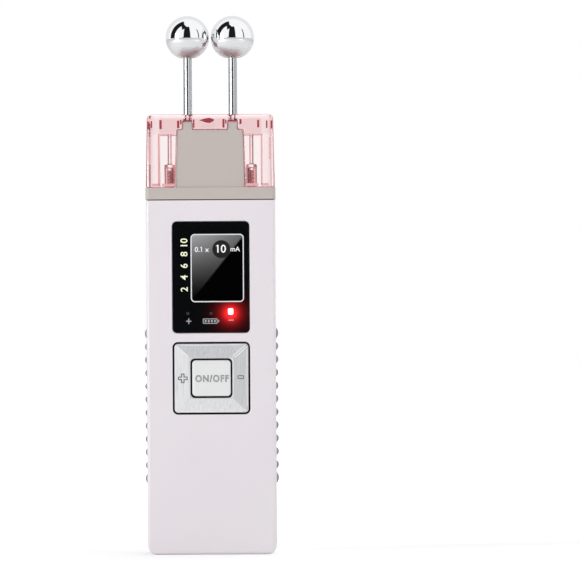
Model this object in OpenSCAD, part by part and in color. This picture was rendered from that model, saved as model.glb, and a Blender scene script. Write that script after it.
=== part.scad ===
// Hand-held facial toning device: an upright handle with a display, a square rocker key
// round a power button, and a plug-in head that carries two ball electrodes.
// Millimetres. +Z runs up the handle, the front faces -Y, and the origin is the centre of
// the bottom face.

/* [Handle] */
// Width between the two flat sides
body_w = 44; // [43:0.5:50]
// Depth from the front face to the back face
body_d = 28; // [27.5:0.5:34]
// Height of the two shells
body_h = 120.5; // [119:0.5:135]
// Wall of both shells
wall = 2; // [1.8:0.1:2.4]
// Radius of the long front edges
front_edge_r = 1.2; // [0.8:0.1:2]
// Radius of the long back edges
back_edge_r = 4; // [3:0.5:6]
// Radius of the two lower corners, seen from the front
foot_corner_r = 3.3; // [2.5:0.1:5]
// Radius along the bottom edge, front and back
foot_edge_r = 1; // [0.6:0.1:1.5]
// Height of the alignment lip inside the parting line
lip_h = 1.2; // [0.8:0.1:1.6]
// Thickness of the alignment lip
lip_t = 0.8; // [0.6:0.1:0.9]

/* [Side grips] */
// Width of a grip strip, front to back
grip_w = 9; // [7:0.5:12]
// Length of a grip strip
grip_len = 53.1; // [45:0.1:56]
// Height of the middle of the grips above the bottom
grip_z = 50.45; // [46:0.5:56]
// How deep a strip is let into the shells
grip_inset = 1.4; // [1.2:0.1:1.5]
// How far a rib stands out of the side
rib_h = 0.75; // [0.5:0.05:1]
// Number of ribs on a strip
rib_count = 12; // [8:1:14]
// Length of a rib along the handle
rib_len = 2.55; // [2.2:0.05:3]
// Length of the first and last rib
end_rib_len = 3.7; // [3:0.1:4]
// Radius of the locating pegs behind a strip
peg_r = 1; // [0.8:0.1:1.5]

/* [Display] */
// Width of the black window
window_w = 26.1; // [24:0.1:28]
// Height of the black window
window_h = 37.8; // [36:0.1:39]
// Height of the window's middle above the bottom
window_z = 94.3; // [93.5:0.1:96]
// Thickness of the window, let in flush
window_t = 1.2; // [0.8:0.1:1.4]
// Corner radius of the window
window_r = 1.5; // [1:0.1:2.5]
// Width of the picture area
lcd_w = 18.3; // [16:0.1:19]
// Height of the picture area
lcd_h = 23.4; // [20:0.1:24]
// Sideways place of the picture area
lcd_x = 2.35; // [1:0.05:2.5]
// Height of the picture area's middle above the bottom
lcd_z = 97.4; // [97:0.1:98]
// Border of the display module round its picture area
lcd_border = 1; // [0.8:0.1:1.2]
// Thickness of the display module
lcd_t = 2.6; // [2:0.1:3]
// Height of the row of indicator lights
light_z = 82; // [81.6:0.1:82.4]
// Sideways places of the three indicator lights
light_xs = [-7.9, 0, 6.65];
// Radius of a light pipe
pipe_r = 1.1; // [0.8:0.1:1.1]

/* [Keys] */
// Width of the rocker key
key_w = 25.1; // [24:0.1:27]
// Height of the rocker key
key_h = 23.4; // [22:0.1:25]
// Height of the keys' middle above the bottom
key_z = 59.95; // [56:0.5:60]
// Corner radius of the rocker key
key_r = 1.2; // [0.8:0.1:2]
// Gap round the rocker key
key_gap = 0.65; // [0.4:0.05:0.8]
// Rise of the bevel from the outer edge to the inner rim
bevel_h = 1; // [0.6:0.1:1.4]
// How far the inner rim stands out of the front face
key_proud = 0.5; // [0.2:0.1:1]
// Thickness of the rocker key at its outer edge
key_edge_t = 3.4; // [3:0.1:3.6]
// Width of the power button
button_w = 13.05; // [11:0.05:14]
// Height of the power button
button_h = 12.2; // [11:0.1:13]
// Gap round the power button
button_gap = 0.65; // [0.5:0.05:0.8]
// Travel of the power button
button_travel = 0.5; // [0.3:0.05:0.6]
// Tilt of the rocker key, each way, in degrees
key_tilt = 2.5; // [1:0.5:3]
// Distance of the + and - switches from the middle
switch_x = 9.7; // [9:0.1:10.2]
// Radius of the rocker's pivot pins
pivot_r = 0.6; // [0.5:0.05:0.7]

/* [Electronics] */
// Depth of the main board's front below the front face
board_depth = 9; // [8.8:0.1:9.5]
// Thickness of the main board
board_t = 1.2; // [1:0.1:1.6]
// Width of the main board
board_w = 26.8; // [26:0.1:27]
// Diameter of the battery cell
cell_d = 14.2; // [10:0.1:14.5]
// Length of the battery cell
cell_len = 50; // [40:0.5:52]
// Height of the cell's lower end above the bottom
cell_z = 22; // [20:0.5:23]
// Radius of the charging plug's hole
jack_r = 1.8; // [1.3:0.05:2]
// Depth of the charging plug's hole
jack_len = 12.6; // [10:0.1:13]

/* [Head] */
// Thickness of the gasket under the collar
gasket_t = 0.3; // [0.2:0.05:0.5]
// Height of the collar
collar_h = 4.1; // [3.8:0.1:5]
// How far the collar stands out past the handle
collar_over = 0.1; // [0:0.05:0.3]
// Height of the clear cover
cover_h = 24.8; // [24.5:0.1:30]
// How much narrower the cover is than the handle, at its foot
cover_step = 0.1; // [0.1:0.1:0.6]
// How much narrower the cover is at its top than at its foot
cover_taper = 0.9; // [0:0.1:2]
// Radius of the cover's two top corners
cover_corner_r = 1.5; // [1:0.1:2.5]
// Thickness of the cover's side walls
cover_side_t = 4.1; // [3.5:0.1:4.5]
// Thickness of the cover's front and back walls
cover_face_t = 2; // [1.5:0.1:2.5]
// Thickness of the clear blocks over the side chambers
cover_block_h = 6.5; // [6:0.1:8]
// Width of the beige tongue at its foot
tongue_w = 23.5; // [23:0.1:24]
// Width of the beige tongue at its shoulders
tongue_top_w = 22.4; // [22:0.1:23.5]
// Height of the tongue above the collar
tongue_h = 19.6; // [19:0.1:20]
// Wall of the tongue
tongue_wall = 1.6; // [1.2:0.1:2]
// Width of a prong under a stem
prong_w = 3.3; // [3:0.1:4]
// Height of a prong
prong_h = 2.8; // [2:0.1:3]
// Width of the plug under the head
plug_w = 23; // [22:0.1:23.2]
// Depth of the plug, front to back
plug_d = 14; // [12:0.5:14.5]
// Length of the plug below the gasket's top
plug_len = 9.5; // [8:0.1:9.5]

/* [Electrodes] */
// Diameter of a ball
ball_d = 14.9; // [12:0.1:15]
// Distance between the two stems
stem_spacing = 15.4; // [15.3:0.1:16]
// Diameter of a stem
stem_d = 3; // [2.6:0.1:3.2]
// Height of the balls' centres above the cover's top
ball_rise = 26.5; // [20:0.5:32]
// Radius of the bore in a ball
ball_bore_r = 2.6; // [2.4:0.1:3]
// Depth of the ball's bore past its centre
ball_bore_past = 3.5; // [3:0.1:4.5]

/* [Clearances] */
// Gap round pieces that are let in or slide together
fit = 0.15; // [0.1:0.05:0.2]
// Radial gap of pins and shafts in their holes
running = 0.05; // [0.02:0.01:0.08]
// Gap between flat faces that lie on each other
seat = 0.1; // [0.05:0.05:0.15]

/* [Hidden] */
$fn = 48;
cut = 1;                    // how far a cut runs past the face it opens

// Handle
front_y = -body_d / 2;
inner_front_y = front_y + wall;
inner_back_y = body_d / 2 - wall;
inner_x = body_w / 2 - wall;
lip_len = 50;
lip_z = body_h / 2;
ceiling_z = body_h - wall;

// Shell screws: heads sunk in the back, shafts in bosses of the front shell
boss_r = 2.3;
boss_wall_gap = 0.4;        // room between a boss and the side wall
boss_x = inner_x - boss_wall_gap - boss_r;
boss_foot_z = 10;
boss_top_drop = 16.5;       // how far the upper bosses lie below the shells' top
boss_zs = [boss_foot_z, body_h - boss_top_drop];
shell_screw_r = 1;
shell_head_r = 1.75;
shell_head_t = 1.5;
shell_head_sink = 6;        // how far the heads' seats lie inside the back face
shell_head_y = body_d / 2 - shell_head_sink;
shell_screw_tip_y = -body_d / 4;
pilot_rest = 0.5;           // how far a pilot hole runs past its screw's tip

// Main board and its screws
board_front_y = front_y + board_depth;
board_back_y = board_front_y + board_t;
board_bottom_z = 4;
board_top_drop = 13.5;
board_top_z = body_h - board_top_drop;
post_r = 2;
post_side = 2.4;            // distance of a post's middle from the board's side
post_x = board_w / 2 - post_side;
post_foot_z = 18;
board_screw_r = 0.8;
board_head_r = 1.8;
board_head_t = 1.2;
board_screw_len = 5;

// Display stack
pocket_floor_y = front_y + window_t;
lcd_front_y = inner_front_y + seat;
lcd_back_y = lcd_front_y + lcd_t;
lcd_module_w = lcd_w + 2 * lcd_border;
lcd_module_h = lcd_h + 2 * lcd_border;
board_margin = 0.5;         // how far pieces stay inside the board's edge
holder_w = lcd_w;
holder_top_z = board_top_z - board_margin;
holder_bottom_z = lcd_z - lcd_module_h / 2;
holder_wall = 1.5;
led_h = 1;
led_size = [2, 1.4];
pipe_bar_t = 1;
pipe_bar_over = 1.4;

// Keys
opening_w = key_w + 2 * key_gap;
opening_h = key_h + 2 * key_gap;
rim_y = front_y - key_proud;
key_edge_y = rim_y + bevel_h;
key_back_y = key_edge_y + key_edge_t;
pivot_cover = 0.4;          // material of the key behind a pivot pin
pivot_y = key_back_y - pivot_cover - pivot_r;
pivot_in = 2.4;             // length of a pivot pin inside the key, and about as much outside
tray_wall = 1.6;
tray_room = 0.9;            // room behind the keys for their travel
tray_floor_y = key_back_y + tray_room;
tray_floor_t = 1.2;
tray_back_y = tray_floor_y + tray_floor_t;
tray_top_z = key_z + opening_h / 2 + tray_wall;
post_top_z = (tray_top_z + light_z - pipe_bar_over) / 2;
post_zs = [post_foot_z, post_top_z];
rim_land = 0.3;
hole_w = button_w + 2 * button_gap;
hole_h = button_h + 2 * button_gap;
button_sink = 0.2;          // how far the button's face lies behind the key's rim
button_face_y = rim_y + button_sink;
cap_back_y = key_back_y - tray_room;
shank_w = 7;
pad_gap = 0.5;              // room between the button's shank and its return ring
pad_wall = 1.5;
switch_size = 6;
switch_h = 1.6;
switch_top_y = board_front_y - switch_h;
plunger_r = 1.2;
plunger_stand = 0.4;        // how far a switch's plunger stands out of its case
press_slack = 0.2;          // free room between the pressed shank and its switch
shank_end_y = switch_top_y - button_travel - press_slack;
plunger_reach = 0.7;        // how far the plunger reaches into its switch
lug_out = 0.8;
lug_h = 3;
lug_t = 0.6;
pusher_r = 1.1;
pusher_sway = 0.45;         // sideways room for a pusher that tilts with the key
pusher_slack = 0.07;        // free room between a tilted pusher and its switch
pusher_end_y = switch_top_y - plunger_stand - switch_x * sin(key_tilt) - pusher_slack;
rocker_pad_wall = 1;
tray_leg_r = 1.2;
tray_leg_x = board_w / 2 - tray_leg_r - seat;
tray_leg_z = key_h / 2 - tray_leg_r;

// Side grips
grip_x = body_w / 2 - grip_inset;
grip_corner_r = 2;
peg_len = wall - grip_inset - seat / 2;
peg_pitch = 20;
rib_pitch = (grip_len - end_rib_len) / (rib_count - 1);
rib_margin = 0.3;
rib_w = grip_w - 2 * rib_margin;

// Battery
cell_y = inner_back_y - cell_d / 2 - 2 * fit;
cell_top_z = cell_z + cell_len;
tab_t = 0.3;
tab_r = 3;
saddle_w = 12;
saddle_t = 3;
saddle_inset = 8;
saddle_drop = 2;            // how far a saddle's arms end behind the cell's axis
saddle_zs = [cell_z + saddle_inset, cell_top_z - saddle_inset];
pad_end_gap = 10;           // how far the foam ends short of the cell
pad_w = 8;
lead_r = 0.5;
lead_pitch = 2.8;           // distance between the two leads in the connector
lead_turn = 2.6;            // how far the + lead rises above the cell
lead_low = 3;               // how far the - lead dips below the cell
lead_side = 2.4;            // how far the - lead passes beside the cell
connector_x = 3;
connector_w = 6;
connector_rise = 5;         // height of the connector above the cell
connector_z = cell_top_z + connector_rise;
connector_h = 3.5;
connector_t = 3;

// Components above the connector: their height over it, their place and their size
chip_x = 1;
chip_rise = 9;
chip_w = 7;
chip_t = 1.4;
coil_x = -7;
coil_rise = 18;
coil_r = 4.2;
coil_t = 4.4;
capacitor_x = 8;
capacitor_rises = [13, 19.5];
capacitor_r = 2.5;
capacitor_t = 6;
buzzer_x = -7.5;
buzzer_rise = 7.5;
buzzer_r = 4.3;
buzzer_t = 3.2;
buzzer_hole_r = 0.8;
buzzer_hole_deep = 1.2;

// Charging socket
jack_case_w = 8;
jack_nose_wall = 1.1;
jack_nose_r = jack_r + jack_nose_wall;
jack_nose_z = 0.4;          // how far the socket's mouth lies above the bottom face
jack_case_z = wall + seat;
jack_case_h = jack_len;

// Head socket in the handle
plug_gap = fit;
socket_wall = 1.6;
plug_end_gap = 0.3;
socket_floor_z = body_h + gasket_t - plug_len - plug_end_gap;
socket_floor_t = 2.1;
socket_bottom_z = socket_floor_z - socket_floor_t;
pin_r = 1;
pin_pitch = 7;
pin_xs = [-pin_pitch, 0, pin_pitch];
sleeve_wall = 0.45;
sleeve_r = pin_r + running + sleeve_wall;
sleeve_len = 7;
sleeve_floor_t = 0.8;
sleeve_bottom_z = socket_floor_z - sleeve_len;
pin_end_gap = 0.4;          // room between a pin's tip and its sleeve's floor
pin_bottom_z = sleeve_bottom_z + sleeve_floor_t + pin_end_gap;
pin_tail_r = 0.4;
socket_lead_drop = 2;
plug_corner_r = 0.8;
gasket_inset = 0.5;
gasket_band = 1.3;

// Head
collar_z = body_h + gasket_t;
cover_z = collar_z + collar_h;
cover_top_z = cover_z + cover_h;
tongue_top_z = cover_z + tongue_h;
prong_top_z = tongue_top_z + prong_h;
cover_w = body_w - cover_step;
cover_face_step = 0.3;      // how much shallower the cover is than the handle
cover_d = body_d - cover_face_step;
tongue_face_step = 0.9;     // how much shallower the tongue is than the cover
tongue_d = cover_d - tongue_face_step;
prong_d = tongue_d;         // the prongs run from face to face, as the tongue does
chamber_x = cover_w / 2 - cover_side_t;
chamber_top_z = cover_top_z - cover_block_h;
head_floor_t = 1;
head_floor_z = collar_z + head_floor_t;
head_board_t = 1.2;
plug_wall = 2;
plug_roof_drop = 4.8;       // how far the plug's solid part ends below the collar
plug_roof_z = collar_z - plug_roof_drop;
cover_boss_r = 1.8;
cover_boss_gap = 0.45;
cover_boss_cap = 1;         // solid end of a boss past its pilot hole
cover_column_r = 0.65;      // thin column that joins a boss to the block above it
screw_x = tongue_w / 2 + seat + cover_boss_gap + cover_boss_r;
head_screw_r = 0.95;
head_screw_head_r = 1.9;
head_screw_head_t = 1.4;
head_screw_slot_w = 0.6;
head_screw_slot_deep = 0.5;
head_screw_sink = 1.6;      // how far a head's seat lies inside the collar
head_screw_seat_z = collar_z + head_screw_sink;
head_screw_in = 6;          // length of a screw in the cover
head_screw_tip_z = cover_z + head_screw_in;
head_screw_rest = 1;        // how far a pilot hole runs past its screw's tip
pilot_top_z = head_screw_tip_z + head_screw_rest;
strip_inset = 2.6;
strip_x = body_w / 2 - strip_inset;
strip_w = 2.4;
strip_len = 18;
strip_t = 0.8;
strip_drop = 2;             // how far a strip lies below the collar's top
strip_z = cover_z - strip_drop;
glow_led_len = 3;
glow_led_side = 0.4;
glow_led_h = 1;

// Electrodes
stem_x = stem_spacing / 2;
stem_r = stem_d / 2;
shank_r = 0.8;
shank_in = 6;               // length of a stem's thread under the tongue's top
shank_bottom_z = tongue_top_z - shank_in;
nut_h = 1.3;
nut_af = 3.2;
nut_r = nut_af / sqrt(3);
tag_t = 0.3;
tag_r = nut_af / 2;
tag_ear_y = 4.2;
tag_ear_w = 1.6;
nut_top_z = tongue_top_z - tongue_wall - tag_t;
ball_z = cover_top_z + ball_rise;
bush_rise = 0.55;           // height of a bush's end above its ball's lowest point
bush_bottom_z = ball_z - ball_d / 2 + bush_rise;
bush_past = 1.5;
bush_top_z = ball_z + bush_past;
clip_t = 0.5;
clip_gap = 0.4;
clip_r = ball_bore_r - clip_gap;
groove_depth = 0.3;
groove_z = bush_top_z + seat;
stem_top_z = ball_z + ball_bore_past - seat;

WHITE = "#e7e1e6";
BEIGE = "#c0b7b0";
BLACK = "#17171a";
SILVER = "#c9ccd0";
GREY = "#a8a6a9";
GREEN = "#2f6b45";
CLEAR = "#f3c7cc";
GOLD = "#c9a24a";

// ---------- shared shapes ----------

// A rectangle in X and Y with four equal round corners
module rounded_rect(w, h, r) {
    square([w - 2 * r, h], center = true);
    square([w, h - 2 * r], center = true);
    for (x = [-1, 1], y = [-1, 1])
        translate([x * (w / 2 - r), y * (h / 2 - r)]) circle(r);
}

// The handle's plan: small radii at the front, larger ones at the back
module plan(w, d, front_r, back_r) {
    translate([-w / 2, -d / 2 + front_r]) square([w, d - front_r - back_r]);
    translate([-w / 2 + front_r, -d / 2]) square([w - 2 * front_r, 2 * front_r]);
    translate([-w / 2 + back_r, d / 2 - 2 * back_r]) square([w - 2 * back_r, 2 * back_r]);
    for (x = [-1, 1]) {
        translate([x * (w / 2 - front_r), -d / 2 + front_r]) circle(front_r);
        translate([x * (w / 2 - back_r), d / 2 - back_r]) circle(back_r);
    }
}

// Stands its outline up in X and Z, and extrudes it from y0 to y1
module between_y(y0, y1) {
    translate([0, y1, 0]) rotate([90, 0, 0]) linear_extrude(y1 - y0) children();
}

// A cylinder along Y from y0 to y1, at x and z
module rod_y(x, z, r, y0, y1) {
    translate([x, y1, z]) rotate([90, 0, 0]) cylinder(r = r, h = y1 - y0);
}

// A box from one corner to the other
module span(low, high) {
    translate(low) cube(high - low);
}

// A round wire along points, with round corners
module wire(points, r) {
    for (i = [0 : len(points) - 2]) {
        run = points[i + 1] - points[i];
        reach = norm(run);
        translate(points[i])
            rotate([0, acos(run.z / reach), atan2(run.y, run.x)])
                cylinder(r = r, h = reach);
    }
    for (i = [1 : 1 : len(points) - 2]) translate(points[i]) sphere(r);
}

// Its children at +X, and mirrored at -X
module both_sides() {
    children();
    mirror([1, 0, 0]) children();
}

// The foot seen from the front or the side: round lower corners, open at the top
module foot_outline(w, r) {
    translate([-w / 2, r]) square([w, body_h - r]);
    translate([-w / 2 + r, 0]) square([w - 2 * r, 2 * r]);
    for (x = [-1, 1]) translate([x * (w / 2 - r), r]) circle(r);
}

// ---------- handle shells ----------

module handle_block() {
    intersection() {
        linear_extrude(body_h) plan(body_w, body_d, front_edge_r, back_edge_r);
        between_y(-body_d, body_d) foot_outline(body_w, foot_corner_r);
        rotate([0, 0, 90]) between_y(-body_w, body_w) foot_outline(body_d, foot_edge_r);
    }
}

// What both shells leave free: the grips' pockets, the charging hole and the plug's way in
module shared_cuts() {
    both_sides() {
        translate([grip_x, 0, grip_z]) rotate([90, 0, 90]) linear_extrude(grip_inset + cut)
            rounded_rect(grip_w + 2 * fit, grip_len + 2 * fit, grip_corner_r);
        for (k = [-1 : 1]) translate([grip_x - wall, 0, grip_z + k * peg_pitch])
            rotate([0, 90, 0]) cylinder(r = peg_r + fit, h = wall + cut);
    }
    translate([0, 0, -cut]) cylinder(r = jack_nose_r + fit, h = wall + 2 * cut);
    translate([0, 0, ceiling_z - cut]) linear_extrude(wall + 2 * cut)
        rounded_rect(plug_w + 4 * fit, plug_d + 4 * fit, plug_corner_r);
}

module front_shell() {
    color(WHITE) difference() {
        union() {
            difference() {
                intersection() {
                    handle_block();
                    span([-body_w, -body_d, 0], [body_w, 0, body_h]);
                }
                span([-inner_x, inner_front_y, wall], [inner_x, cut, ceiling_z]);
            }
            for (x = [-boss_x, boss_x], z = boss_zs)
                rod_y(x, z, boss_r, inner_front_y - wall / 2, 0);
            for (x = [-post_x, post_x], z = post_zs)
                rod_y(x, z, post_r, inner_front_y - wall / 2, board_front_y);
        }
        between_y(front_y - cut, pocket_floor_y) translate([0, window_z])
            rounded_rect(window_w + 2 * fit, window_h + 2 * fit, window_r + fit);
        between_y(front_y, inner_front_y + cut) translate([lcd_x, lcd_z])
            square([lcd_w + 2 * fit, lcd_h + 2 * fit], center = true);
        for (x = light_xs) rod_y(x, light_z, pipe_r + fit, front_y, inner_front_y + cut);
        between_y(front_y - cut, inner_front_y + cut) translate([0, key_z])
            rounded_rect(opening_w, opening_h, key_r + key_gap);
        for (x = [-boss_x, boss_x], z = boss_zs)
            rod_y(x, z, shell_screw_r + running, shell_screw_tip_y - pilot_rest, cut);
        for (x = [-post_x, post_x], z = post_zs)
            rod_y(x, z, board_screw_r + running, board_back_y - board_screw_len - pilot_rest,
                board_front_y + cut);
        shared_cuts();
    }
}

// The rear shell's lip at +X, which slides in behind the front shell's side wall
module lip() {
    span([inner_x - fit - lip_t, -lip_h, lip_z - lip_len / 2],
        [inner_x - fit, 2 * lip_h, lip_z + lip_len / 2]);
    span([inner_x - fit - lip_t, seat, lip_z - lip_len / 2],
        [inner_x + fit, 2 * lip_h, lip_z + lip_len / 2]);
}

module rear_shell() {
    color(WHITE) difference() {
        union() {
            difference() {
                intersection() {
                    handle_block();
                    span([-body_w, 0, 0], [body_w, body_d, body_h]);
                }
                intersection() {
                    translate([0, 0, wall]) linear_extrude(ceiling_z - wall)
                        rounded_rect(2 * inner_x, 2 * inner_back_y, back_edge_r - wall);
                    span([-body_w, -cut, 0], [body_w, body_d, body_h]);
                }
            }
            for (x = [-boss_x, boss_x], z = boss_zs)
                rod_y(x, z, boss_r, 0, inner_back_y + wall / 2);
            for (z = saddle_zs)
                span([-saddle_w / 2, cell_y + saddle_drop, z - saddle_t / 2],
                    [saddle_w / 2, inner_back_y + wall / 2, z + saddle_t / 2]);
            both_sides() lip();
        }
        for (x = [-boss_x, boss_x], z = boss_zs) {
            rod_y(x, z, shell_screw_r + 2 * fit, -cut, body_d / 2);
            rod_y(x, z, shell_head_r + fit, shell_head_y, body_d / 2 + cut);
        }
        translate([0, cell_y, cell_z]) cylinder(r = cell_d / 2 + fit, h = cell_len);
        shared_cuts();
    }
}

module shell_screws() {
    color(SILVER) for (x = [-boss_x, boss_x], z = boss_zs) difference() {
        union() {
            rod_y(x, z, shell_screw_r, shell_screw_tip_y, shell_head_y);
            rod_y(x, z, shell_head_r, shell_head_y, shell_head_y + shell_head_t);
        }
        cross_slot(x, z, shell_head_y + shell_head_t, shell_head_r);
    }
}

// A cross recess in a screw head that faces +Y
module cross_slot(x, z, face_y, head_r) {
    for (a = [0, 90]) translate([x, face_y, z]) rotate([0, a, 0])
        cube([1.4 * head_r, 1, 0.3 * head_r], center = true);
}

// ---------- side grips ----------

// One grip strip, for the side at +X
module grip_strip() {
    translate([0, 0, grip_z]) {
        translate([grip_x, 0, 0]) rotate([90, 0, 90]) linear_extrude(grip_inset)
            rounded_rect(grip_w, grip_len, grip_corner_r);
        for (i = [0 : rib_count - 1])
            translate([body_w / 2, 0, (i - (rib_count - 1) / 2) * rib_pitch])
                rib(i == 0 || i == rib_count - 1 ? end_rib_len : rib_len);
        for (k = [-1 : 1]) translate([grip_x - peg_len, 0, k * peg_pitch])
            rotate([0, 90, 0]) cylinder(r = peg_r, h = peg_len + grip_inset / 2);
    }
}

// A rib: the cap of a cylinder along Y, with round ends
module rib(length) {
    sink = 0.3;
    cap_h = rib_h + sink;
    cap_r = (length * length / 4 + rib_h * rib_h) / (2 * rib_h);
    intersection() {
        translate([-sink, 0, 0]) rotate([90, 0, 90]) linear_extrude(cap_h)
            rounded_rect(rib_w, length, length / 2 - 0.1);
        translate([rib_h - cap_r, 0, 0]) rotate([90, 0, 0])
            cylinder(r = cap_r, h = grip_w, center = true);
    }
}

module grip_right() {
    color(GREY) grip_strip();
}

module grip_left() {
    color(GREY) mirror([1, 0, 0]) grip_strip();
}

// ---------- display ----------

module display_window() {
    color(BLACK) between_y(front_y, pocket_floor_y - seat / 2) translate([0, window_z])
        rounded_rect(window_w, window_h, window_r);
}

module lcd_module() {
    color("#3a4048") between_y(lcd_front_y, lcd_back_y) translate([lcd_x, lcd_z])
        square([lcd_module_w, lcd_module_h], center = true);
}

// A frame that carries the display module off the main board
module lcd_holder() {
    holder_h = holder_top_z - holder_bottom_z;
    color("#e8e8e4") between_y(lcd_back_y + seat, board_front_y - seat)
        translate([lcd_x, holder_bottom_z + holder_h / 2]) difference() {
            square([holder_w, holder_h], center = true);
            square([holder_w - 2 * holder_wall, holder_h - 2 * holder_wall], center = true);
        }
}

module light_pipes() {
    color("#dfe8ee") {
        for (x = light_xs)
            rod_y(x, light_z, pipe_r, pocket_floor_y, board_front_y - led_h - seat);
        between_y(inner_front_y + seat, inner_front_y + seat + pipe_bar_t)
            translate([min(light_xs) - pipe_bar_over, light_z - pipe_bar_over])
                square([max(light_xs) - min(light_xs) + 2 * pipe_bar_over, 2 * pipe_bar_over]);
    }
}

module indicator_led(x) {
    between_y(board_front_y - led_h, board_front_y) translate([x, light_z])
        square(led_size, center = true);
}

module led_plus() {
    color("#5a2020") indicator_led(light_xs[0]);
}

module led_charge() {
    color("#5a2020") indicator_led(light_xs[1]);
}

module led_minus() {
    color("#ff2a2a") indicator_led(light_xs[2]);
}

// ---------- keys ----------

// A black tray behind the front wall: it carries the rocker's pins and guides the button
module key_frame() {
    color(BLACK) difference() {
        union() {
            between_y(inner_front_y, tray_back_y) translate([0, key_z])
                square([opening_w + 2 * tray_wall, opening_h + 2 * tray_wall], center = true);
            for (x = [-tray_leg_x, tray_leg_x], z = [-tray_leg_z, tray_leg_z])
                rod_y(x, key_z + z, tray_leg_r, tray_back_y - tray_floor_t / 2,
                    board_front_y - seat / 2);
        }
        between_y(inner_front_y - cut, tray_floor_y) translate([0, key_z])
            square([opening_w, opening_h], center = true);
        between_y(tray_floor_y - cut, tray_back_y + cut) translate([0, key_z])
            square(shank_w + 2 * fit, center = true);
        for (x = [-switch_x, switch_x])
            rod_y(x, key_z, pusher_r + pusher_sway, tray_floor_y - cut, tray_back_y + cut);
        translate([0, pivot_y, key_z]) cylinder(r = pivot_r + running,
            h = opening_h + 2 * tray_wall + 2 * cut, center = true);
    }
}

module key_pivot_pins() {
    color(SILVER) translate([0, pivot_y, key_z]) for (side = [0, 1]) mirror([0, 0, side])
        translate([0, 0, key_h / 2 - pivot_in])
            cylinder(r = pivot_r, h = pivot_in + key_gap + tray_wall);
}

// Silicone rings that hold the rocker level
module rocker_pads() {
    color("#d8d8d8") for (x = [-switch_x, switch_x]) difference() {
        rod_y(x, key_z, pusher_r + pusher_sway + rocker_pad_wall, key_back_y + seat / 2,
            tray_floor_y - seat / 2);
        rod_y(x, key_z, pusher_r + pusher_sway, key_back_y - cut, tray_floor_y + cut);
    }
}

// A silicone ring that lifts the power button
module power_pad() {
    color("#d8d8d8") between_y(cap_back_y + seat / 2, tray_floor_y - seat / 2)
        translate([0, key_z]) difference() {
            square(shank_w + 2 * (pad_gap + pad_wall), center = true);
            square(shank_w + 2 * pad_gap, center = true);
        }
}

// The bevelled square ring that rocks to + or -
module key_ring() {
    color(SILVER) translate([0, 0, key_z]) difference() {
        union() {
            intersection() {
                between_y(rim_y, key_back_y) rounded_rect(key_w, key_h, key_r);
                linear_extrude(2 * key_h, center = true)
                    bevel_outline(key_w, hole_w + 2 * rim_land);
                rotate([0, 90, 0]) linear_extrude(2 * key_w, center = true)
                    bevel_outline(key_h, hole_h + 2 * rim_land);
            }
            for (x = [-switch_x, switch_x])
                rod_y(x, 0, pusher_r, key_back_y - cut, pusher_end_y);
        }
        between_y(rim_y - cut, key_back_y + cut) rounded_rect(hole_w, hole_h, key_r + 0.4);
        for (side = [0, 1]) mirror([0, 0, side])
            translate([0, pivot_y, key_h / 2 - pivot_in - fit])
                cylinder(r = pivot_r + running, h = pivot_in + cut);
    }
}

// The ring cut across: foot as wide as the key, bevel up to the rim
module bevel_outline(foot, rim) {
    polygon([
        [-foot / 2, key_back_y], [foot / 2, key_back_y], [foot / 2, key_edge_y],
        [rim / 2, rim_y], [-rim / 2, rim_y], [-foot / 2, key_edge_y]
    ]);
}

module power_button() {
    lug_y = tray_back_y + seat;
    color(SILVER) translate([0, 0, key_z]) {
        between_y(button_face_y, cap_back_y) rounded_rect(button_w, button_h, key_r);
        between_y(cap_back_y - cut, shank_end_y) square(shank_w, center = true);
        between_y(lug_y, lug_y + lug_t) square([shank_w + 2 * lug_out, lug_h], center = true);
    }
}

module power_plunger() {
    color(BLACK) rod_y(0, key_z, plunger_r, shank_end_y, switch_top_y + plunger_reach);
}

module switch_case(x) {
    between_y(switch_top_y, board_front_y) translate([x, key_z])
        square(switch_size, center = true);
}

module switch_power() {
    color("#303034") difference() {
        switch_case(0);
        rod_y(0, key_z, plunger_r + running, switch_top_y - cut,
            switch_top_y + plunger_reach + button_travel + seat);
    }
}

module rocker_switch(x) {
    color("#303034") {
        switch_case(x);
        rod_y(x, key_z, plunger_r, switch_top_y - plunger_stand, switch_top_y + switch_h / 2);
    }
}

module switch_plus() {
    rocker_switch(-switch_x);
}

module switch_minus() {
    rocker_switch(switch_x);
}

// ---------- electronics ----------

module main_board() {
    board_h = board_top_z - board_bottom_z;
    color(GREEN) difference() {
        between_y(board_front_y, board_back_y) translate([0, board_bottom_z + board_h / 2])
            square([board_w, board_h], center = true);
        for (x = [-post_x, post_x], z = post_zs)
            rod_y(x, z, board_screw_r + fit, board_front_y - cut, board_back_y + cut);
        for (x = [-boss_x, boss_x], z = boss_zs)
            rod_y(x, z, boss_r + fit, board_front_y - cut, board_back_y + cut);
    }
}

module board_screws() {
    color(SILVER) for (x = [-post_x, post_x], z = post_zs) difference() {
        union() {
            rod_y(x, z, board_screw_r, board_back_y - board_screw_len, board_back_y);
            rod_y(x, z, board_head_r, board_back_y, board_back_y + board_head_t);
        }
        cross_slot(x, z, board_back_y + board_head_t, board_head_r);
    }
}

// A box on the back of the main board, at a height over the connector
module on_board(x, rise, w, h, tall) {
    between_y(board_back_y, board_back_y + tall) translate([x, connector_z + rise])
        square([w, h], center = true);
}

// A round component on the back of the main board
module round_on_board(x, rise, r, tall) {
    rod_y(x, connector_z + rise, r, board_back_y, board_back_y + tall);
}

module controller_chip() {
    color(BLACK) on_board(chip_x, chip_rise, chip_w, chip_w, chip_t);
}

module step_up_coil() {
    color("#4a4a4e") round_on_board(coil_x, coil_rise, coil_r, coil_t);
}

module capacitors() {
    color("#2b3a55") for (rise = capacitor_rises)
        round_on_board(capacitor_x, rise, capacitor_r, capacitor_t);
}

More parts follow.
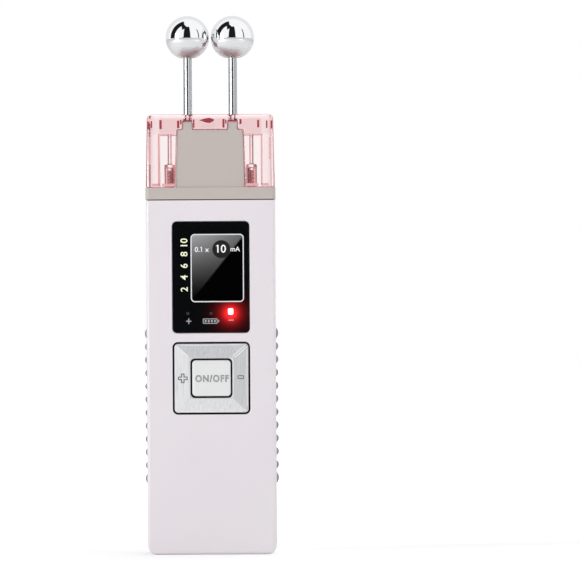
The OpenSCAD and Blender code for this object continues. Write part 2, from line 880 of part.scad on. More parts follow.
module buzzer() {
    back_y = board_back_y + buzzer_t;
    color(BLACK) difference() {
        round_on_board(buzzer_x, buzzer_rise, buzzer_r, buzzer_t);
        rod_y(buzzer_x, connector_z + buzzer_rise, buzzer_hole_r, back_y - buzzer_hole_deep,
            back_y + cut);
    }
}

module battery_cell() {
    color("#3d7fb5") translate([0, cell_y, cell_z]) cylinder(r = cell_d / 2, h = cell_len);
}

module battery_tabs() {
    color(SILVER) for (z = [cell_z - tab_t, cell_top_z])
        translate([0, cell_y, z]) cylinder(r = tab_r, h = tab_t);
}

module battery_connector() {
    color("#f0efe8")
        on_board(connector_x, connector_h / 2, connector_w, connector_h, connector_t);
}

// The + lead runs from the cell's top, and the - lead up beside the cell from its foot
module battery_leads() {
    lead_y = board_back_y + connector_t / 2;
    side_x = cell_d / 2 + lead_side;
    plus_x = connector_x - lead_pitch / 2;
    minus_x = connector_x + lead_pitch / 2;
    turn_z = cell_top_z + lead_turn;
    low_z = cell_z - lead_low;
    color("#b03030") wire([
        [0, cell_y, cell_top_z + tab_t], [0, cell_y, turn_z], [plus_x, cell_y, turn_z],
        [plus_x, lead_y, turn_z], [plus_x, lead_y, connector_z]
    ], lead_r);
    color("#222222") wire([
        [0, cell_y, cell_z - tab_t], [0, cell_y, low_z], [side_x, cell_y, low_z],
        [side_x, cell_y, turn_z], [side_x, lead_y, turn_z], [minus_x, lead_y, turn_z],
        [minus_x, lead_y, connector_z]
    ], lead_r);
}

module battery_pad() {
    color("#55555a") span([-pad_w / 2, board_back_y, cell_z + pad_end_gap],
        [pad_w / 2, cell_y - cell_d / 2 - seat, cell_top_z - pad_end_gap]);
}

module charge_socket() {
    color(BLACK) difference() {
        union() {
            span([-jack_case_w / 2, board_back_y, jack_case_z],
                [jack_case_w / 2, jack_case_w / 2, jack_case_z + jack_case_h]);
            translate([0, 0, jack_nose_z])
                cylinder(r = jack_nose_r, h = jack_case_z + cut - jack_nose_z);
        }
        translate([0, 0, jack_nose_z - cut]) cylinder(r = jack_r, h = jack_len + cut);
    }
}

// ---------- head socket in the handle ----------

module head_socket() {
    color(BLACK) difference() {
        translate([0, 0, socket_bottom_z]) linear_extrude(ceiling_z - seat - socket_bottom_z)
            square([plug_w + 2 * plug_gap + 4 * socket_wall, plug_d + 2 * plug_gap + 2 * socket_wall],
                center = true);
        translate([0, 0, socket_floor_z]) linear_extrude(body_h)
            square([plug_w + 2 * plug_gap, plug_d + 2 * plug_gap], center = true);
        for (x = pin_xs) translate([x, 0, socket_bottom_z - cut])
            cylinder(r = sleeve_r + running, h = body_h);
    }
}

module socket_sleeves() {
    color(GOLD) for (x = pin_xs) translate([x, 0, sleeve_bottom_z]) difference() {
        cylinder(r = sleeve_r, h = socket_floor_z - sleeve_bottom_z);
        translate([0, 0, sleeve_floor_t]) cylinder(r = pin_r + running, h = body_h);
    }
}

module socket_leads() {
    low_z = sleeve_bottom_z - socket_lead_drop;
    color("#c8662a") for (x = pin_xs)
        wire([[x, 0, sleeve_bottom_z], [x, 0, low_z], [x, board_back_y, low_z]], lead_r);
}

module parting_gasket() {
    outer = 2 * gasket_inset;
    inner = outer + 2 * gasket_band;
    color(BLACK) translate([0, 0, body_h]) linear_extrude(gasket_t) difference() {
        plan(body_w - outer, body_d - outer, front_edge_r, back_edge_r - outer / 2);
        plan(body_w - inner, body_d - inner, front_edge_r / 2, back_edge_r - inner / 2);
    }
}

// ---------- head ----------

// The tongue seen from the front, grown on every side by grow
module tongue_outline(grow, top_z) {
    slope = (tongue_w - tongue_top_w) / 2 / tongue_h;
    foot = tongue_w / 2 + grow;
    top = foot - slope * (top_z - cover_z);
    polygon([[-foot, cover_z - cut], [foot, cover_z - cut], [top, top_z], [-top, top_z]]);
}

// Beige base: collar, hollow tongue with two prongs, and the plug underneath
module head_base() {
    color(BEIGE) difference() {
        union() {
            translate([0, 0, collar_z]) linear_extrude(collar_h)
                plan(body_w + 2 * collar_over, body_d + 2 * collar_over, front_edge_r, back_edge_r);
            between_y(-tongue_d / 2, tongue_d / 2) tongue_outline(0, tongue_top_z);
            for (x = [-stem_x, stem_x])
                span([x - prong_w / 2, -prong_d / 2, tongue_top_z - cut],
                    [x + prong_w / 2, prong_d / 2, prong_top_z]);
            translate([0, 0, collar_z - plug_len]) linear_extrude(plug_len + cut)
                rounded_rect(plug_w, plug_d, plug_corner_r);
        }
        intersection() {
            between_y(-tongue_d / 2 + tongue_wall, tongue_d / 2 - tongue_wall)
                tongue_outline(-tongue_wall, tongue_top_z - tongue_wall);
            span([-body_w, -body_d, cover_z - cut], [body_w, body_d, cover_top_z]);
        }
        span([-tongue_w / 2 + tongue_wall, -tongue_d / 2 + tongue_wall, head_floor_z],
            [tongue_w / 2 - tongue_wall, tongue_d / 2 - tongue_wall, cover_z - cut / 2]);
        span([-plug_w / 2 + plug_wall, -plug_d / 2 + plug_wall, plug_roof_z],
            [plug_w / 2 - plug_wall, plug_d / 2 - plug_wall, head_floor_z + cut / 2]);
        for (x = pin_xs) translate([x, 0, 0])
            cylinder(r = pin_r + running, h = head_floor_z);
        for (x = [-stem_x, stem_x]) {
            translate([x, 0, cover_z]) cylinder(r = shank_r + running, h = cover_h);
            span([x - nut_af / 2 - fit, -nut_r - fit, head_floor_z],
                [x + nut_af / 2 + fit, nut_r + fit, tongue_top_z - tongue_wall]);
        }
        for (x = [-screw_x, screw_x]) {
            translate([x, 0, collar_z - cut])
                cylinder(r = head_screw_head_r + fit, h = head_screw_seat_z - collar_z + cut);
            translate([x, 0, collar_z]) cylinder(r = head_screw_r + fit, h = collar_h + cut);
        }
        for (x = [-strip_x, strip_x])
            span([x - strip_w / 2 - fit, -strip_len / 2 - fit, strip_z],
                [x + strip_w / 2 + fit, strip_len / 2 + fit, cover_z + cut]);
    }
}

// Points along a round corner, from angle a0 to a1
function corner(cx, cz, r, a0, a1) =
    [for (k = [0 : 6]) let (a = a0 + (a1 - a0) * k / 6) [cx + r * cos(a), cz + r * sin(a)]];

// The cover seen from the front: slightly narrower at the top, with round top corners
module cover_outline() {
    foot = cover_w / 2;
    top = (cover_w - cover_taper) / 2;
    r = cover_corner_r;
    polygon(concat(
        [[-foot, cover_z], [foot, cover_z]],
        corner(top - r, cover_top_z - r, r, 0, 90),
        corner(-top + r, cover_top_z - r, r, 90, 180)
    ));
}

module head_cover() {
    color(CLEAR, 0.5) difference() {
        intersection() {
            between_y(-body_d, body_d) cover_outline();
            translate([0, 0, cover_z + seat / 2]) linear_extrude(cover_h)
                plan(cover_w, cover_d, front_edge_r, back_edge_r);
        }
        between_y(-body_d, body_d) tongue_outline(seat, tongue_top_z + seat);
        for (side = [-1, 1]) difference() {
            span([side > 0 ? 0 : -chamber_x, -cover_d / 2 + cover_face_t, cover_z - cut],
                [side > 0 ? chamber_x : 0, cover_d / 2 - cover_face_t, chamber_top_z]);
            translate([side * screw_x, 0, 0]) {
                cylinder(r = cover_boss_r, h = pilot_top_z + cover_boss_cap);
                cylinder(r = cover_column_r, h = cover_top_z);
            }
        }
        for (x = [-screw_x, screw_x]) translate([x, 0, cover_z - cut])
            cylinder(r = head_screw_r + running, h = pilot_top_z + cut - cover_z);
        for (x = [-stem_x, stem_x]) {
            span([x - prong_w / 2 - seat, -body_d, tongue_top_z],
                [x + prong_w / 2 + seat, body_d, prong_top_z + seat]);
            translate([x, 0, prong_top_z]) cylinder(r = stem_r + seat, h = cover_h);
        }
    }
}

module head_screws() {
    color(SILVER) for (x = [-screw_x, screw_x]) translate([x, 0, 0]) difference() {
        union() {
            translate([0, 0, head_screw_seat_z - head_screw_head_t])
                cylinder(r = head_screw_head_r, h = head_screw_head_t);
            translate([0, 0, head_screw_seat_z - cut])
                cylinder(r = head_screw_r, h = head_screw_tip_z - head_screw_seat_z + cut);
        }
        for (a = [0, 90]) translate([0, 0, head_screw_seat_z - head_screw_head_t])
            rotate([0, 0, a]) cube([1.4 * head_screw_head_r, head_screw_slot_w,
                2 * head_screw_slot_deep], center = true);
    }
}

module plug_pins() {
    color(GOLD) for (x = pin_xs) translate([x, 0, 0]) {
        translate([0, 0, pin_bottom_z]) cylinder(r = pin_r, h = plug_roof_z - pin_bottom_z);
        translate([0, 0, plug_roof_z - cut])
            cylinder(r = pin_tail_r, h = head_floor_z - plug_roof_z + cut);
    }
}

module head_board() {
    color(GREEN) translate([0, 0, head_floor_z + head_board_t / 2])
        cube([tongue_w - 2 * tongue_wall - 2 * fit, tongue_d - 2 * tongue_wall - 2 * fit,
            head_board_t], center = true);
}

module glow_strip(x) {
    color(GREEN) translate([x, 0, strip_z + strip_t / 2])
        cube([strip_w, strip_len, strip_t], center = true);
}

module glow_strip_left() {
    glow_strip(-strip_x);
}

module glow_strip_right() {
    glow_strip(strip_x);
}

module glow_leds() {
    color("#ff5a6a") for (x = [-strip_x, strip_x], y = [-strip_len / 3, strip_len / 3])
        translate([x, y, strip_z + strip_t + glow_led_h / 2])
            cube([strip_w - 2 * glow_led_side, glow_led_len, glow_led_h], center = true);
}

// ---------- electrodes ----------

module stem(x) {
    color(SILVER) translate([x, 0, 0]) difference() {
        union() {
            translate([0, 0, shank_bottom_z])
                cylinder(r = shank_r, h = prong_top_z - shank_bottom_z + cut);
            translate([0, 0, prong_top_z]) cylinder(r = stem_r, h = stem_top_z - prong_top_z);
        }
        translate([0, 0, groove_z]) difference() {
            cylinder(r = stem_r + cut, h = clip_t);
            translate([0, 0, -cut]) cylinder(r = stem_r - groove_depth, h = clip_t + 2 * cut);
        }
    }
}

module stem_left() {
    stem(-stem_x);
}

module stem_right() {
    stem(stem_x);
}

module stem_nuts() {
    color(GOLD) for (x = [-stem_x, stem_x]) translate([x, 0, nut_top_z - nut_h]) difference() {
        rotate([0, 0, 30]) cylinder(r = nut_r, h = nut_h, $fn = 6);
        translate([0, 0, -cut]) cylinder(r = shank_r + running, h = nut_h + 2 * cut);
    }
}

// Solder tags over the nuts, each with an ear for its lead
module contact_tags() {
    color(GOLD) for (x = [-stem_x, stem_x]) translate([x, 0, nut_top_z]) difference() {
        union() {
            cylinder(r = tag_r, h = tag_t);
            translate([-tag_ear_w / 2, 0, 0]) cube([tag_ear_w, tag_ear_y + tag_ear_w / 2, tag_t]);
        }
        translate([0, 0, -cut]) cylinder(r = shank_r + running, h = tag_t + 2 * cut);
    }
}

module electrode_leads() {
    color("#d8d8d8") for (x = [-stem_x, stem_x])
        wire([[x, tag_ear_y, head_floor_z + head_board_t], [x, tag_ear_y, nut_top_z]], lead_r);
}

module stem_clips() {
    color(SILVER) for (x = [-stem_x, stem_x]) translate([x, 0, groove_z + seat / 4])
        difference() {
            cylinder(r = clip_r, h = clip_t - seat / 2);
            translate([0, 0, -cut]) cylinder(r = stem_r - groove_depth + running, h = clip_t + 2 * cut);
        }
}

module ball(x) {
    color("#e2e2e4") translate([x, 0, ball_z]) difference() {
        sphere(d = ball_d, $fn = 96);
        translate([0, 0, -ball_d]) cylinder(r = ball_bore_r, h = ball_d + ball_bore_past);
    }
}

module bush(x) {
    color(GOLD) translate([x, 0, bush_bottom_z]) difference() {
        cylinder(r = ball_bore_r - running, h = bush_top_z - bush_bottom_z);
        translate([0, 0, -cut]) cylinder(r = stem_r + running, h = 2 * ball_d);
    }
}

module ball_left() {
    ball(-stem_x);
}

module ball_right() {
    ball(stem_x);
}

module bush_left() {
    bush(-stem_x);
}

module bush_right() {
    bush(stem_x);
}

front_shell();
rear_shell();
shell_screws();
grip_left();
grip_right();
display_window();
lcd_module();
lcd_holder();
light_pipes();
led_plus();
led_charge();
led_minus();
key_frame();
key_pivot_pins();
rocker_pads();
power_pad();
key_ring();
power_button();
power_plunger();
switch_power();
switch_plus();
switch_minus();
main_board();
board_screws();
controller_chip();
step_up_coil();
capacitors();
buzzer();
battery_cell();
battery_tabs();
battery_leads();
battery_pad();
battery_connector();
charge_socket();
head_socket();
socket_sleeves();
socket_leads();
parting_gasket();
head_base();
head_cover();
head_screws();
plug_pins();
head_board();
glow_strip_left();
glow_strip_right();
glow_leds();
stem_left();
stem_right();
stem_nuts();
contact_tags();
electrode_leads();
stem_clips();
ball_left();
bush_left();
ball_right();
bush_right();
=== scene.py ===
"""The looks of a hand-held facial toning device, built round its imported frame.

Metres, +Z up the handle, the front faces -Y, and the origin is the centre of the foot.
"""

import math

import bmesh
import bpy
from mathutils import Matrix, Vector


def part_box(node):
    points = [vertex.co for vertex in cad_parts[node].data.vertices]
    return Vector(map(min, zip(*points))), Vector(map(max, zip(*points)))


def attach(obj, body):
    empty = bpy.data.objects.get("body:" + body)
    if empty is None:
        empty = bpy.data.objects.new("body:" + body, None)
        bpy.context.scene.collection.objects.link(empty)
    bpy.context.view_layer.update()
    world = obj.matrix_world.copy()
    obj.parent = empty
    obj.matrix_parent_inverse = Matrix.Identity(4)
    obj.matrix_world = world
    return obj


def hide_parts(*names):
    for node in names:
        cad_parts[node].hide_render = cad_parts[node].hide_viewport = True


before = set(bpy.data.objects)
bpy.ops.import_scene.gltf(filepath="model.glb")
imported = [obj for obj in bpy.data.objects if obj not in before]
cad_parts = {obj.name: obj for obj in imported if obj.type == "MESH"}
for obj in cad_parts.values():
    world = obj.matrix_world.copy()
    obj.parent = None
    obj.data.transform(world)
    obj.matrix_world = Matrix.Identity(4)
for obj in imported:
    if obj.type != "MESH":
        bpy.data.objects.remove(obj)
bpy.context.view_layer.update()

MM = 0.001


# ---------- colours and shader nodes ----------


def linear(hex_code):
    """An sRGB hex colour as linear RGBA."""
    parts = [int(hex_code[i:i + 2], 16) / 255 for i in (0, 2, 4)]
    return [p / 12.92 if p <= 0.04045 else ((p + 0.055) / 1.055) ** 2.4 for p in parts] + [1.0]


def add(tree, kind, values=None, links=None, **settings):
    """Adds a node with its settings, its input values and the outputs that feed its inputs."""
    node = tree.nodes.new(kind)
    for name, setting in settings.items():
        setattr(node, name, setting)
    for key, value in (values or {}).items():
        node.inputs[key].default_value = value
    for key, output in (links or {}).items():
        tree.links.new(output, node.inputs[key])
    return node


def new_material(name):
    """An empty material, its node tree and its output node."""
    material = bpy.data.materials.new(name)
    material.use_nodes = True
    tree = material.node_tree
    tree.nodes.clear()
    return material, tree, add(tree, "ShaderNodeOutputMaterial")


def moulded(name, dark, light, roughness, grain_mm, relief, **shader):
    """A moulded surface: the mould's grain grain_mm apart, and a slow drift of its colour."""
    material, tree, out = new_material(name)
    place = add(tree, "ShaderNodeTexCoord").outputs["Object"]
    grain = add(tree, "ShaderNodeTexNoise", {"Scale": 1 / (grain_mm * MM), "Detail": 2.0},
                {"Vector": place}).outputs["Fac"]
    drift = add(tree, "ShaderNodeTexNoise", {"Scale": 1 / (25 * MM), "Detail": 1.0},
                {"Vector": place}).outputs["Fac"]
    colour = add(tree, "ShaderNodeMix", {6: linear(dark), 7: linear(light)}, {0: drift},
                 data_type="RGBA").outputs[2]
    sheen = add(tree, "ShaderNodeMapRange", {3: roughness * 0.88, 4: roughness * 1.12},
                {0: grain}).outputs[0]
    bump = add(tree, "ShaderNodeBump", {"Strength": relief, "Distance": 0.02 * MM},
               {"Height": grain}).outputs[0]
    body = add(tree, "ShaderNodeBsdfPrincipled", shader,
               {"Base Color": colour, "Roughness": sheen, "Normal": bump})
    tree.links.new(body.outputs[0], out.inputs["Surface"])
    return material


def brushed(name, dark, light, roughness, line_mm, along, metallic, right_facet_shade=1.0, rim=1.0):
    """A metallic surface with fine lines line_mm apart that run along one axis.

    The last two arguments paint light into it: the brightness of a facet that leans to the right, as
    painted shade, and that of a rounded edge, as a painted highlight.
    """
    material, tree, out = new_material(name)
    place = add(tree, "ShaderNodeTexCoord").outputs["Object"]
    pitch = [1 / (line_mm * MM)] * 3
    pitch[along] = 1 / (9 * MM)
    stretched = add(tree, "ShaderNodeMapping", {"Scale": pitch}, {"Vector": place}).outputs[0]
    lines = add(tree, "ShaderNodeTexNoise", {"Scale": 1.0, "Detail": 3.0},
                {"Vector": stretched}).outputs["Fac"]
    colour = add(tree, "ShaderNodeMix", {6: linear(dark), 7: linear(light)}, {0: lines},
                 data_type="RGBA").outputs[2]
    facing = add(tree, "ShaderNodeTexCoord").outputs["Normal"]
    right, front, _ = add(tree, "ShaderNodeSeparateXYZ", links={0: facing}).outputs
    # Painted shade on facets that lean right, and a painted highlight on rounded edges
    right_shade = add(tree, "ShaderNodeMapRange", {1: 0.05, 2: 0.14, 3: 1.0, 4: right_facet_shade},
                {0: right}).outputs[0]
    painted_tone = add(tree, "ShaderNodeMapRange", {1: -0.95, 2: -0.88, 4: rim}, {0: front, 3: right_shade})
    colour = add(tree, "ShaderNodeVectorMath", links={0: colour, "Scale": painted_tone.outputs[0]},
                 operation="SCALE").outputs[0]
    sheen = add(tree, "ShaderNodeMapRange", {3: roughness * 0.8, 4: roughness * 1.2},
                {0: lines}).outputs[0]
    bump = add(tree, "ShaderNodeBump", {"Strength": 0.12, "Distance": 0.02 * MM},
               {"Height": lines}).outputs[0]
    body = add(tree, "ShaderNodeBsdfPrincipled", {"Metallic": metallic},
               {"Base Color": colour, "Roughness": sheen, "Normal": bump})
    tree.links.new(body.outputs[0], out.inputs["Surface"])
    return material


def clear(name, face, edge, roughness, ior, flow_mm, tint=None, density=0.0, block=None):
    """A clear moulding with a faint ripple, whose colour deepens where its surface turns away.

    tint and density colour its depth; block is the deeper pink of its solid top, with that top's
    foot, head and half width; above head a pale band is left as a painted highlight.
    """
    material, tree, out = new_material(name)
    place = add(tree, "ShaderNodeTexCoord").outputs["Object"]
    flow = add(tree, "ShaderNodeTexNoise", {"Scale": 1 / (flow_mm * MM), "Detail": 1.0},
               {"Vector": place}).outputs["Fac"]
    ripple = add(tree, "ShaderNodeBump", {"Strength": 0.06, "Distance": 0.15 * MM},
                 {"Height": flow}).outputs[0]
    turned_away = add(tree, "ShaderNodeLayerWeight", {"Blend": 0.5}, {"Normal": ripple})
    share = add(tree, "ShaderNodeMapRange", {1: 0.06, 2: 0.5},
                {0: turned_away.outputs["Facing"]}).outputs[0]
    colour = add(tree, "ShaderNodeMix", {6: linear(face), 7: linear(edge)}, {0: share},
                 data_type="RGBA").outputs[2]
    if block:
        shade, foot, head, half = block
        soft = 0.2 * MM
        x, _, height = add(tree, "ShaderNodeSeparateXYZ", links={0: place}).outputs
        solid = add(tree, "ShaderNodeMapRange", {1: foot - 0.3 * MM, 2: foot + 0.3 * MM},
                    {0: height}).outputs[0]
        # The pink stops short of the top, leaving a painted highlight
        below = add(tree, "ShaderNodeMapRange", {1: head + soft, 2: head - soft, 4: 0.85},
                    {0: height}).outputs[0]
        out_x = add(tree, "ShaderNodeMath", links={0: x}, operation="ABSOLUTE").outputs[0]
        within = add(tree, "ShaderNodeMapRange", {1: half + soft, 2: half - soft, 3: 0.4},
                     {0: out_x}).outputs[0]
        for mask in (below, within):
            solid = add(tree, "ShaderNodeMath", links={0: solid, 1: mask},
                        operation="MULTIPLY").outputs[0]
        colour = add(tree, "ShaderNodeMix", {7: linear(shade)}, {0: solid, 6: colour},
                     data_type="RGBA", blend_type="MULTIPLY").outputs[2]
    body = add(tree, "ShaderNodeBsdfPrincipled",
               {"Roughness": roughness, "IOR": ior, "Transmission Weight": 1.0},
               {"Base Color": colour, "Normal": ripple})
    tree.links.new(body.outputs[0], out.inputs["Surface"])
    if tint:
        depth = add(tree, "ShaderNodeVolumeAbsorption", {"Color": linear(tint), "Density": density})
        tree.links.new(depth.outputs[0], out.inputs["Volume"])
    return material


def chrome_plate(name, blur, rim, rim_start, rim_end, right_from=2.0, foot=0.0):
    """Steel, polished and chrome plated: a mirror with a faint haze, and painted shade that makes it
    greyer towards its rim.

    rim_start and rim_end say how far the surface has turned away where the painted grey comes in;
    past right_from it is painted grey where it leans to the right. foot blurs it where it faces down,
    round the mouth that the buffing wheel can't reach.
    """
    material, tree, out = new_material(name)
    place = add(tree, "ShaderNodeTexCoord").outputs["Object"]
    haze = add(tree, "ShaderNodeTexNoise", {"Scale": 1 / (1.5 * MM), "Detail": 4.0},
               {"Vector": place}).outputs["Fac"]
    gloss = add(tree, "ShaderNodeMapRange", {1: 0.45, 2: 0.8, 3: blur, 4: blur + 0.04},
                {0: haze}).outputs[0]
    colour = add(tree, "ShaderNodeMix", {6: linear("f0f1f3"), 7: linear("f8f9fa")}, {0: haze},
                 data_type="RGBA").outputs[2]
    # Painted shade: grey where the surface turns away and where it leans to the right
    turned_away = add(tree, "ShaderNodeLayerWeight", {"Blend": 0.5}).outputs["Facing"]
    share = add(tree, "ShaderNodeMapRange", {1: rim_start, 2: rim_end}, {0: turned_away},
                interpolation_type="SMOOTHSTEP").outputs[0]
    facing = add(tree, "ShaderNodeTexCoord").outputs["Normal"]
    right, _, up = add(tree, "ShaderNodeSeparateXYZ", links={0: facing}).outputs
    dull = add(tree, "ShaderNodeMapRange", {1: -0.36, 2: -0.5, 4: foot}, {0: up}).outputs[0]
    gloss = add(tree, "ShaderNodeMath", links={0: gloss, 1: dull}, operation="ADD").outputs[0]
    right_shade = add(tree, "ShaderNodeMapRange", {1: right_from, 2: right_from + 0.15},
                {0: right}).outputs[0]
    share = add(tree, "ShaderNodeMath", links={0: share, 1: right_shade}, operation="MAXIMUM").outputs[0]
    colour = add(tree, "ShaderNodeMix", {7: linear(rim)}, {0: share, 6: colour},
                 data_type="RGBA").outputs[2]
    body = add(tree, "ShaderNodeBsdfPrincipled", {"Metallic": 1.0},
               {"Base Color": colour, "Roughness": gloss})
    tree.links.new(body.outputs[0], out.inputs["Surface"])
    return material


def printed_window(lit):
    """Acrylic sheet, printed black on its back: deep gloss, and a painted red glow round the lit
    light.
    """
    glow_start, glow_fall = 1.47, 0.78 / MM
    material, tree, out = new_material("acrylic_sheet_printed_black")
    place = add(tree, "ShaderNodeTexCoord").outputs["Object"]
    flat = add(tree, "ShaderNodeVectorMath", {1: (1, 0, 1)}, {0: place},
               operation="MULTIPLY").outputs[0]
    away = add(tree, "ShaderNodeVectorMath", {1: (lit.x, 0, lit.z)}, {0: flat},
               operation="DISTANCE").outputs["Value"]
    # The glow halves every 0.9 mm away from the light
    falling = add(tree, "ShaderNodeMath", {1: -glow_fall, 2: glow_start}, {0: away},
                  operation="MULTIPLY_ADD").outputs[0]
    glow = add(tree, "ShaderNodeMath", links={0: falling}, operation="EXPONENT").outputs[0]
    grain = add(tree, "ShaderNodeTexNoise", {"Scale": 1 / (20 * MM)}, {"Vector": place})
    base = add(tree, "ShaderNodeMix", {6: linear("07080a"), 7: linear("0b0c0e")},
               {0: grain.outputs["Fac"]}, data_type="RGBA").outputs[2]
    body = add(tree, "ShaderNodeBsdfPrincipled",
               {"Roughness": 0.03, "IOR": 1.49, "Emission Color": linear("ff2629")},
               {"Base Color": base, "Emission Strength": glow})
    tree.links.new(body.outputs[0], out.inputs["Surface"])
    return material


def display_glass(low, high):
    """Glass over a dark display: a painted reflection, a grey sheen above the diagonal, brightest at
    the top left.
    """
    material, tree, out = new_material("display_glass_polished")
    place = add(tree, "ShaderNodeTexCoord").outputs["Object"]
    x, _, z = add(tree, "ShaderNodeSeparateXYZ", links={0: place}).outputs
    across = add(tree, "ShaderNodeMapRange", {1: low.x, 2: high.x}, {0: x}).outputs[0]
    up = add(tree, "ShaderNodeMapRange", {1: low.z, 2: high.z}, {0: z}).outputs[0]
    slant = add(tree, "ShaderNodeMath", links={0: up, 1: across}, operation="SUBTRACT").outputs[0]
    edge = add(tree, "ShaderNodeMapRange", {1: -0.02, 2: 0.03}, {0: slant},
               interpolation_type="SMOOTHSTEP").outputs[0]
    rise = add(tree, "ShaderNodeMath", {1: 2.4}, {0: up}, operation="POWER").outputs[0]
    side = add(tree, "ShaderNodeMapRange", {3: 1.0, 4: 0.3}, {0: across}).outputs[0]
    sheen = add(tree, "ShaderNodeMath", links={0: edge, 1: rise}, operation="MULTIPLY").outputs[0]
    sheen = add(tree, "ShaderNodeMath", links={0: sheen, 1: side}, operation="MULTIPLY").outputs[0]
    colour = add(tree, "ShaderNodeMix", {6: linear("010101"), 7: linear("b4b4b5")}, {0: sheen},
                 data_type="RGBA").outputs[2]
    body = add(tree, "ShaderNodeBsdfPrincipled", {"Roughness": 0.03, "IOR": 1.52},
               {"Base Color": colour})
    tree.links.new(body.outputs[0], out.inputs["Surface"])
    return material


def ink(name, hex_code, shine=0.0):
    """Screen-printed ink: opaque, satin, with a slight mottle; shine is how much it glows."""
    material, tree, out = new_material(name)
    place = add(tree, "ShaderNodeTexCoord").outputs["Object"]
    mottle = add(tree, "ShaderNodeTexNoise", {"Scale": 1 / (0.4 * MM)},
                 {"Vector": place}).outputs["Fac"]
    shade = add(tree, "ShaderNodeMapRange", {3: 0.9, 4: 1.0}, {0: mottle}).outputs[0]
    colour = add(tree, "ShaderNodeVectorMath", {0: linear(hex_code)[:3]}, {"Scale": shade},
                 operation="SCALE")
    body = add(tree, "ShaderNodeBsdfPrincipled",
               {"Roughness": 0.35, "Emission Color": linear(hex_code), "Emission Strength": shine},
               {"Base Color": colour.outputs[0]})
    tree.links.new(body.outputs[0], out.inputs["Surface"])
    return material


def solder_mask():
    """Glass-epoxy board under solder mask: green gloss over a grid of coppery tracks."""
    material, tree, out = new_material("glass_epoxy_solder_mask")
    place = add(tree, "ShaderNodeTexCoord").outputs["Object"]
    tracks = add(tree, "ShaderNodeTexBrick",
                 {"Scale": 1 / (4 * MM), "Mortar Size": 0.03, "Color1": linear("1d5a35"),
                  "Color2": linear("226841"), "Mortar": linear("3d8a58")},
                 {"Vector": place}).outputs["Color"]
    body = add(tree, "ShaderNodeBsdfPrincipled", {"Roughness": 0.35}, {"Base Color": tracks})
    tree.links.new(body.outputs[0], out.inputs["Surface"])
    return material


# ---------- the finishes ----------

led_at = (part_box("led_minus")[0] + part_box("led_minus")[1]) / 2
LCD_LOW, LCD_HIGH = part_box("lcd_module")
COVER_LOW, COVER_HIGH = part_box("head_cover")
# The cover's solid top: deeper pink from BLOCK_SKIN to BLOCK_H below its top, and to BLOCK_HALF
# on either side; the band above BLOCK_SKIN is left pale as a painted highlight
BLOCK_H, BLOCK_SKIN, BLOCK_HALF = 6.5 * MM, 1.2 * MM, 17.4 * MM

# Gloss ABS, injection moulded: pale lilac white with a soft reflection and bright edges
SHELL = moulded("gloss_abs_moulded_white", "e7e0e6", "e9e4e7", 0.24, 0.6, 0.03, IOR=1.53)
# Satin ABS, injection moulded over spark-eroded steel: warm beige grey, no clear reflection
BASE = moulded("satin_abs_moulded_beige", "bdb3af", "c2b8b3", 0.45, 0.35, 0.12, IOR=1.53)
# Silicone rubber, moulded: mid grey and dull
GRIP = moulded("silicone_rubber_moulded_grey", "98969a", "a6a4a8", 0.55, 0.3, 0.25, IOR=1.43)
# ABS, spark-eroded mould: black and almost matte; its black also stands in for the shade in the gaps
# round the keys, so that they read as lines
TRAY = moulded("abs_moulded_black", "0c0c0e", "131315", 0.5, 0.3, 0.2, IOR=1.53)
# Thermoplastic rubber, moulded: dark and dull, a fine line under the collar
SEAL = moulded("elastomer_moulded_dark", "3a3436", "443e40", 0.7, 0.4, 0.2, IOR=1.5)
# Silicone rubber, moulded, unpigmented: milky and soft
MEMBRANE = moulded("silicone_rubber_moulded_milky", "cfcfcb", "d9d9d6", 0.5, 0.5, 0.1, IOR=1.41,
                   **{"Subsurface Weight": 0.15})
# ABS, moulded white: the carrier behind the display
CARRIER = moulded("abs_moulded_carrier_white", "e2e2dd", "eaeae6", 0.4, 0.5, 0.1, IOR=1.53)
# Polyurethane foam, cast: charcoal with open pores
FOAM = moulded("polyurethane_foam_cast", "3c3c40", "5a5a5e", 0.9, 0.45, 1.0, IOR=1.4)
# Epoxy, transfer moulded: the black of chips and switches
EPOXY = moulded("epoxy_moulded_black", "1a1a1c", "242427", 0.5, 0.2, 0.15, IOR=1.55)
# Ferrite, sintered: dark grey, fine-grained
FERRITE = moulded("ferrite_sintered", "38383b", "4b4b4f", 0.6, 0.25, 0.3, IOR=1.6)
# PVC shrink sleeve: blue and glossy round the cell and the capacitors
SLEEVE = moulded("pvc_shrink_sleeve_blue", "2c6ea6", "397db6", 0.28, 1.2, 0.15, IOR=1.53)
CAN_SLEEVE = moulded("pvc_shrink_sleeve_dark", "232e48", "2f3c5a", 0.28, 1.2, 0.15, IOR=1.53)
# PVC, extruded over stranded wire: red and satin
LEAD = moulded("pvc_extruded_red", "a62a26", "b83831", 0.4, 0.6, 0.1, IOR=1.53)
# ABS, vacuum metallised under a satin lacquer: bright silver, streaked upright, with painted shade on
# the facets that lean right and a painted highlight on its rounded edges
KEY = brushed("metallised_abs_brushed", "cbccce", "fdfdfe", 0.3, 0.3, 2, 0.3, 0.81, 1.05)
# The same coat on the button, a little brighter
BUTTON = brushed("metallised_abs_satin", "e9eae9", "f0f1f0", 0.4, 0.2, 2, 0.15)
# The same coat, bright white: painted highlights along the mitres and the outer edge
MITRE_HIGHLIGHT = brushed("metallised_abs_painted_highlight", "fafafa", "ffffff", 0.3, 0.2, 2, 0.1)
# Painted shade: the dark that stands for the shade in the sunk outline of a mark on the keys
MARK_SHADE = moulded("painted_shade_in_sunk_line", "262827", "323433", 0.4, 0.2, 0.1, IOR=1.5)
# Stainless steel, turned: grey with fine rings
STEEL = brushed("stainless_steel_turned", "a9abae", "c4c6c9", 0.3, 0.1, 0, 1.0)
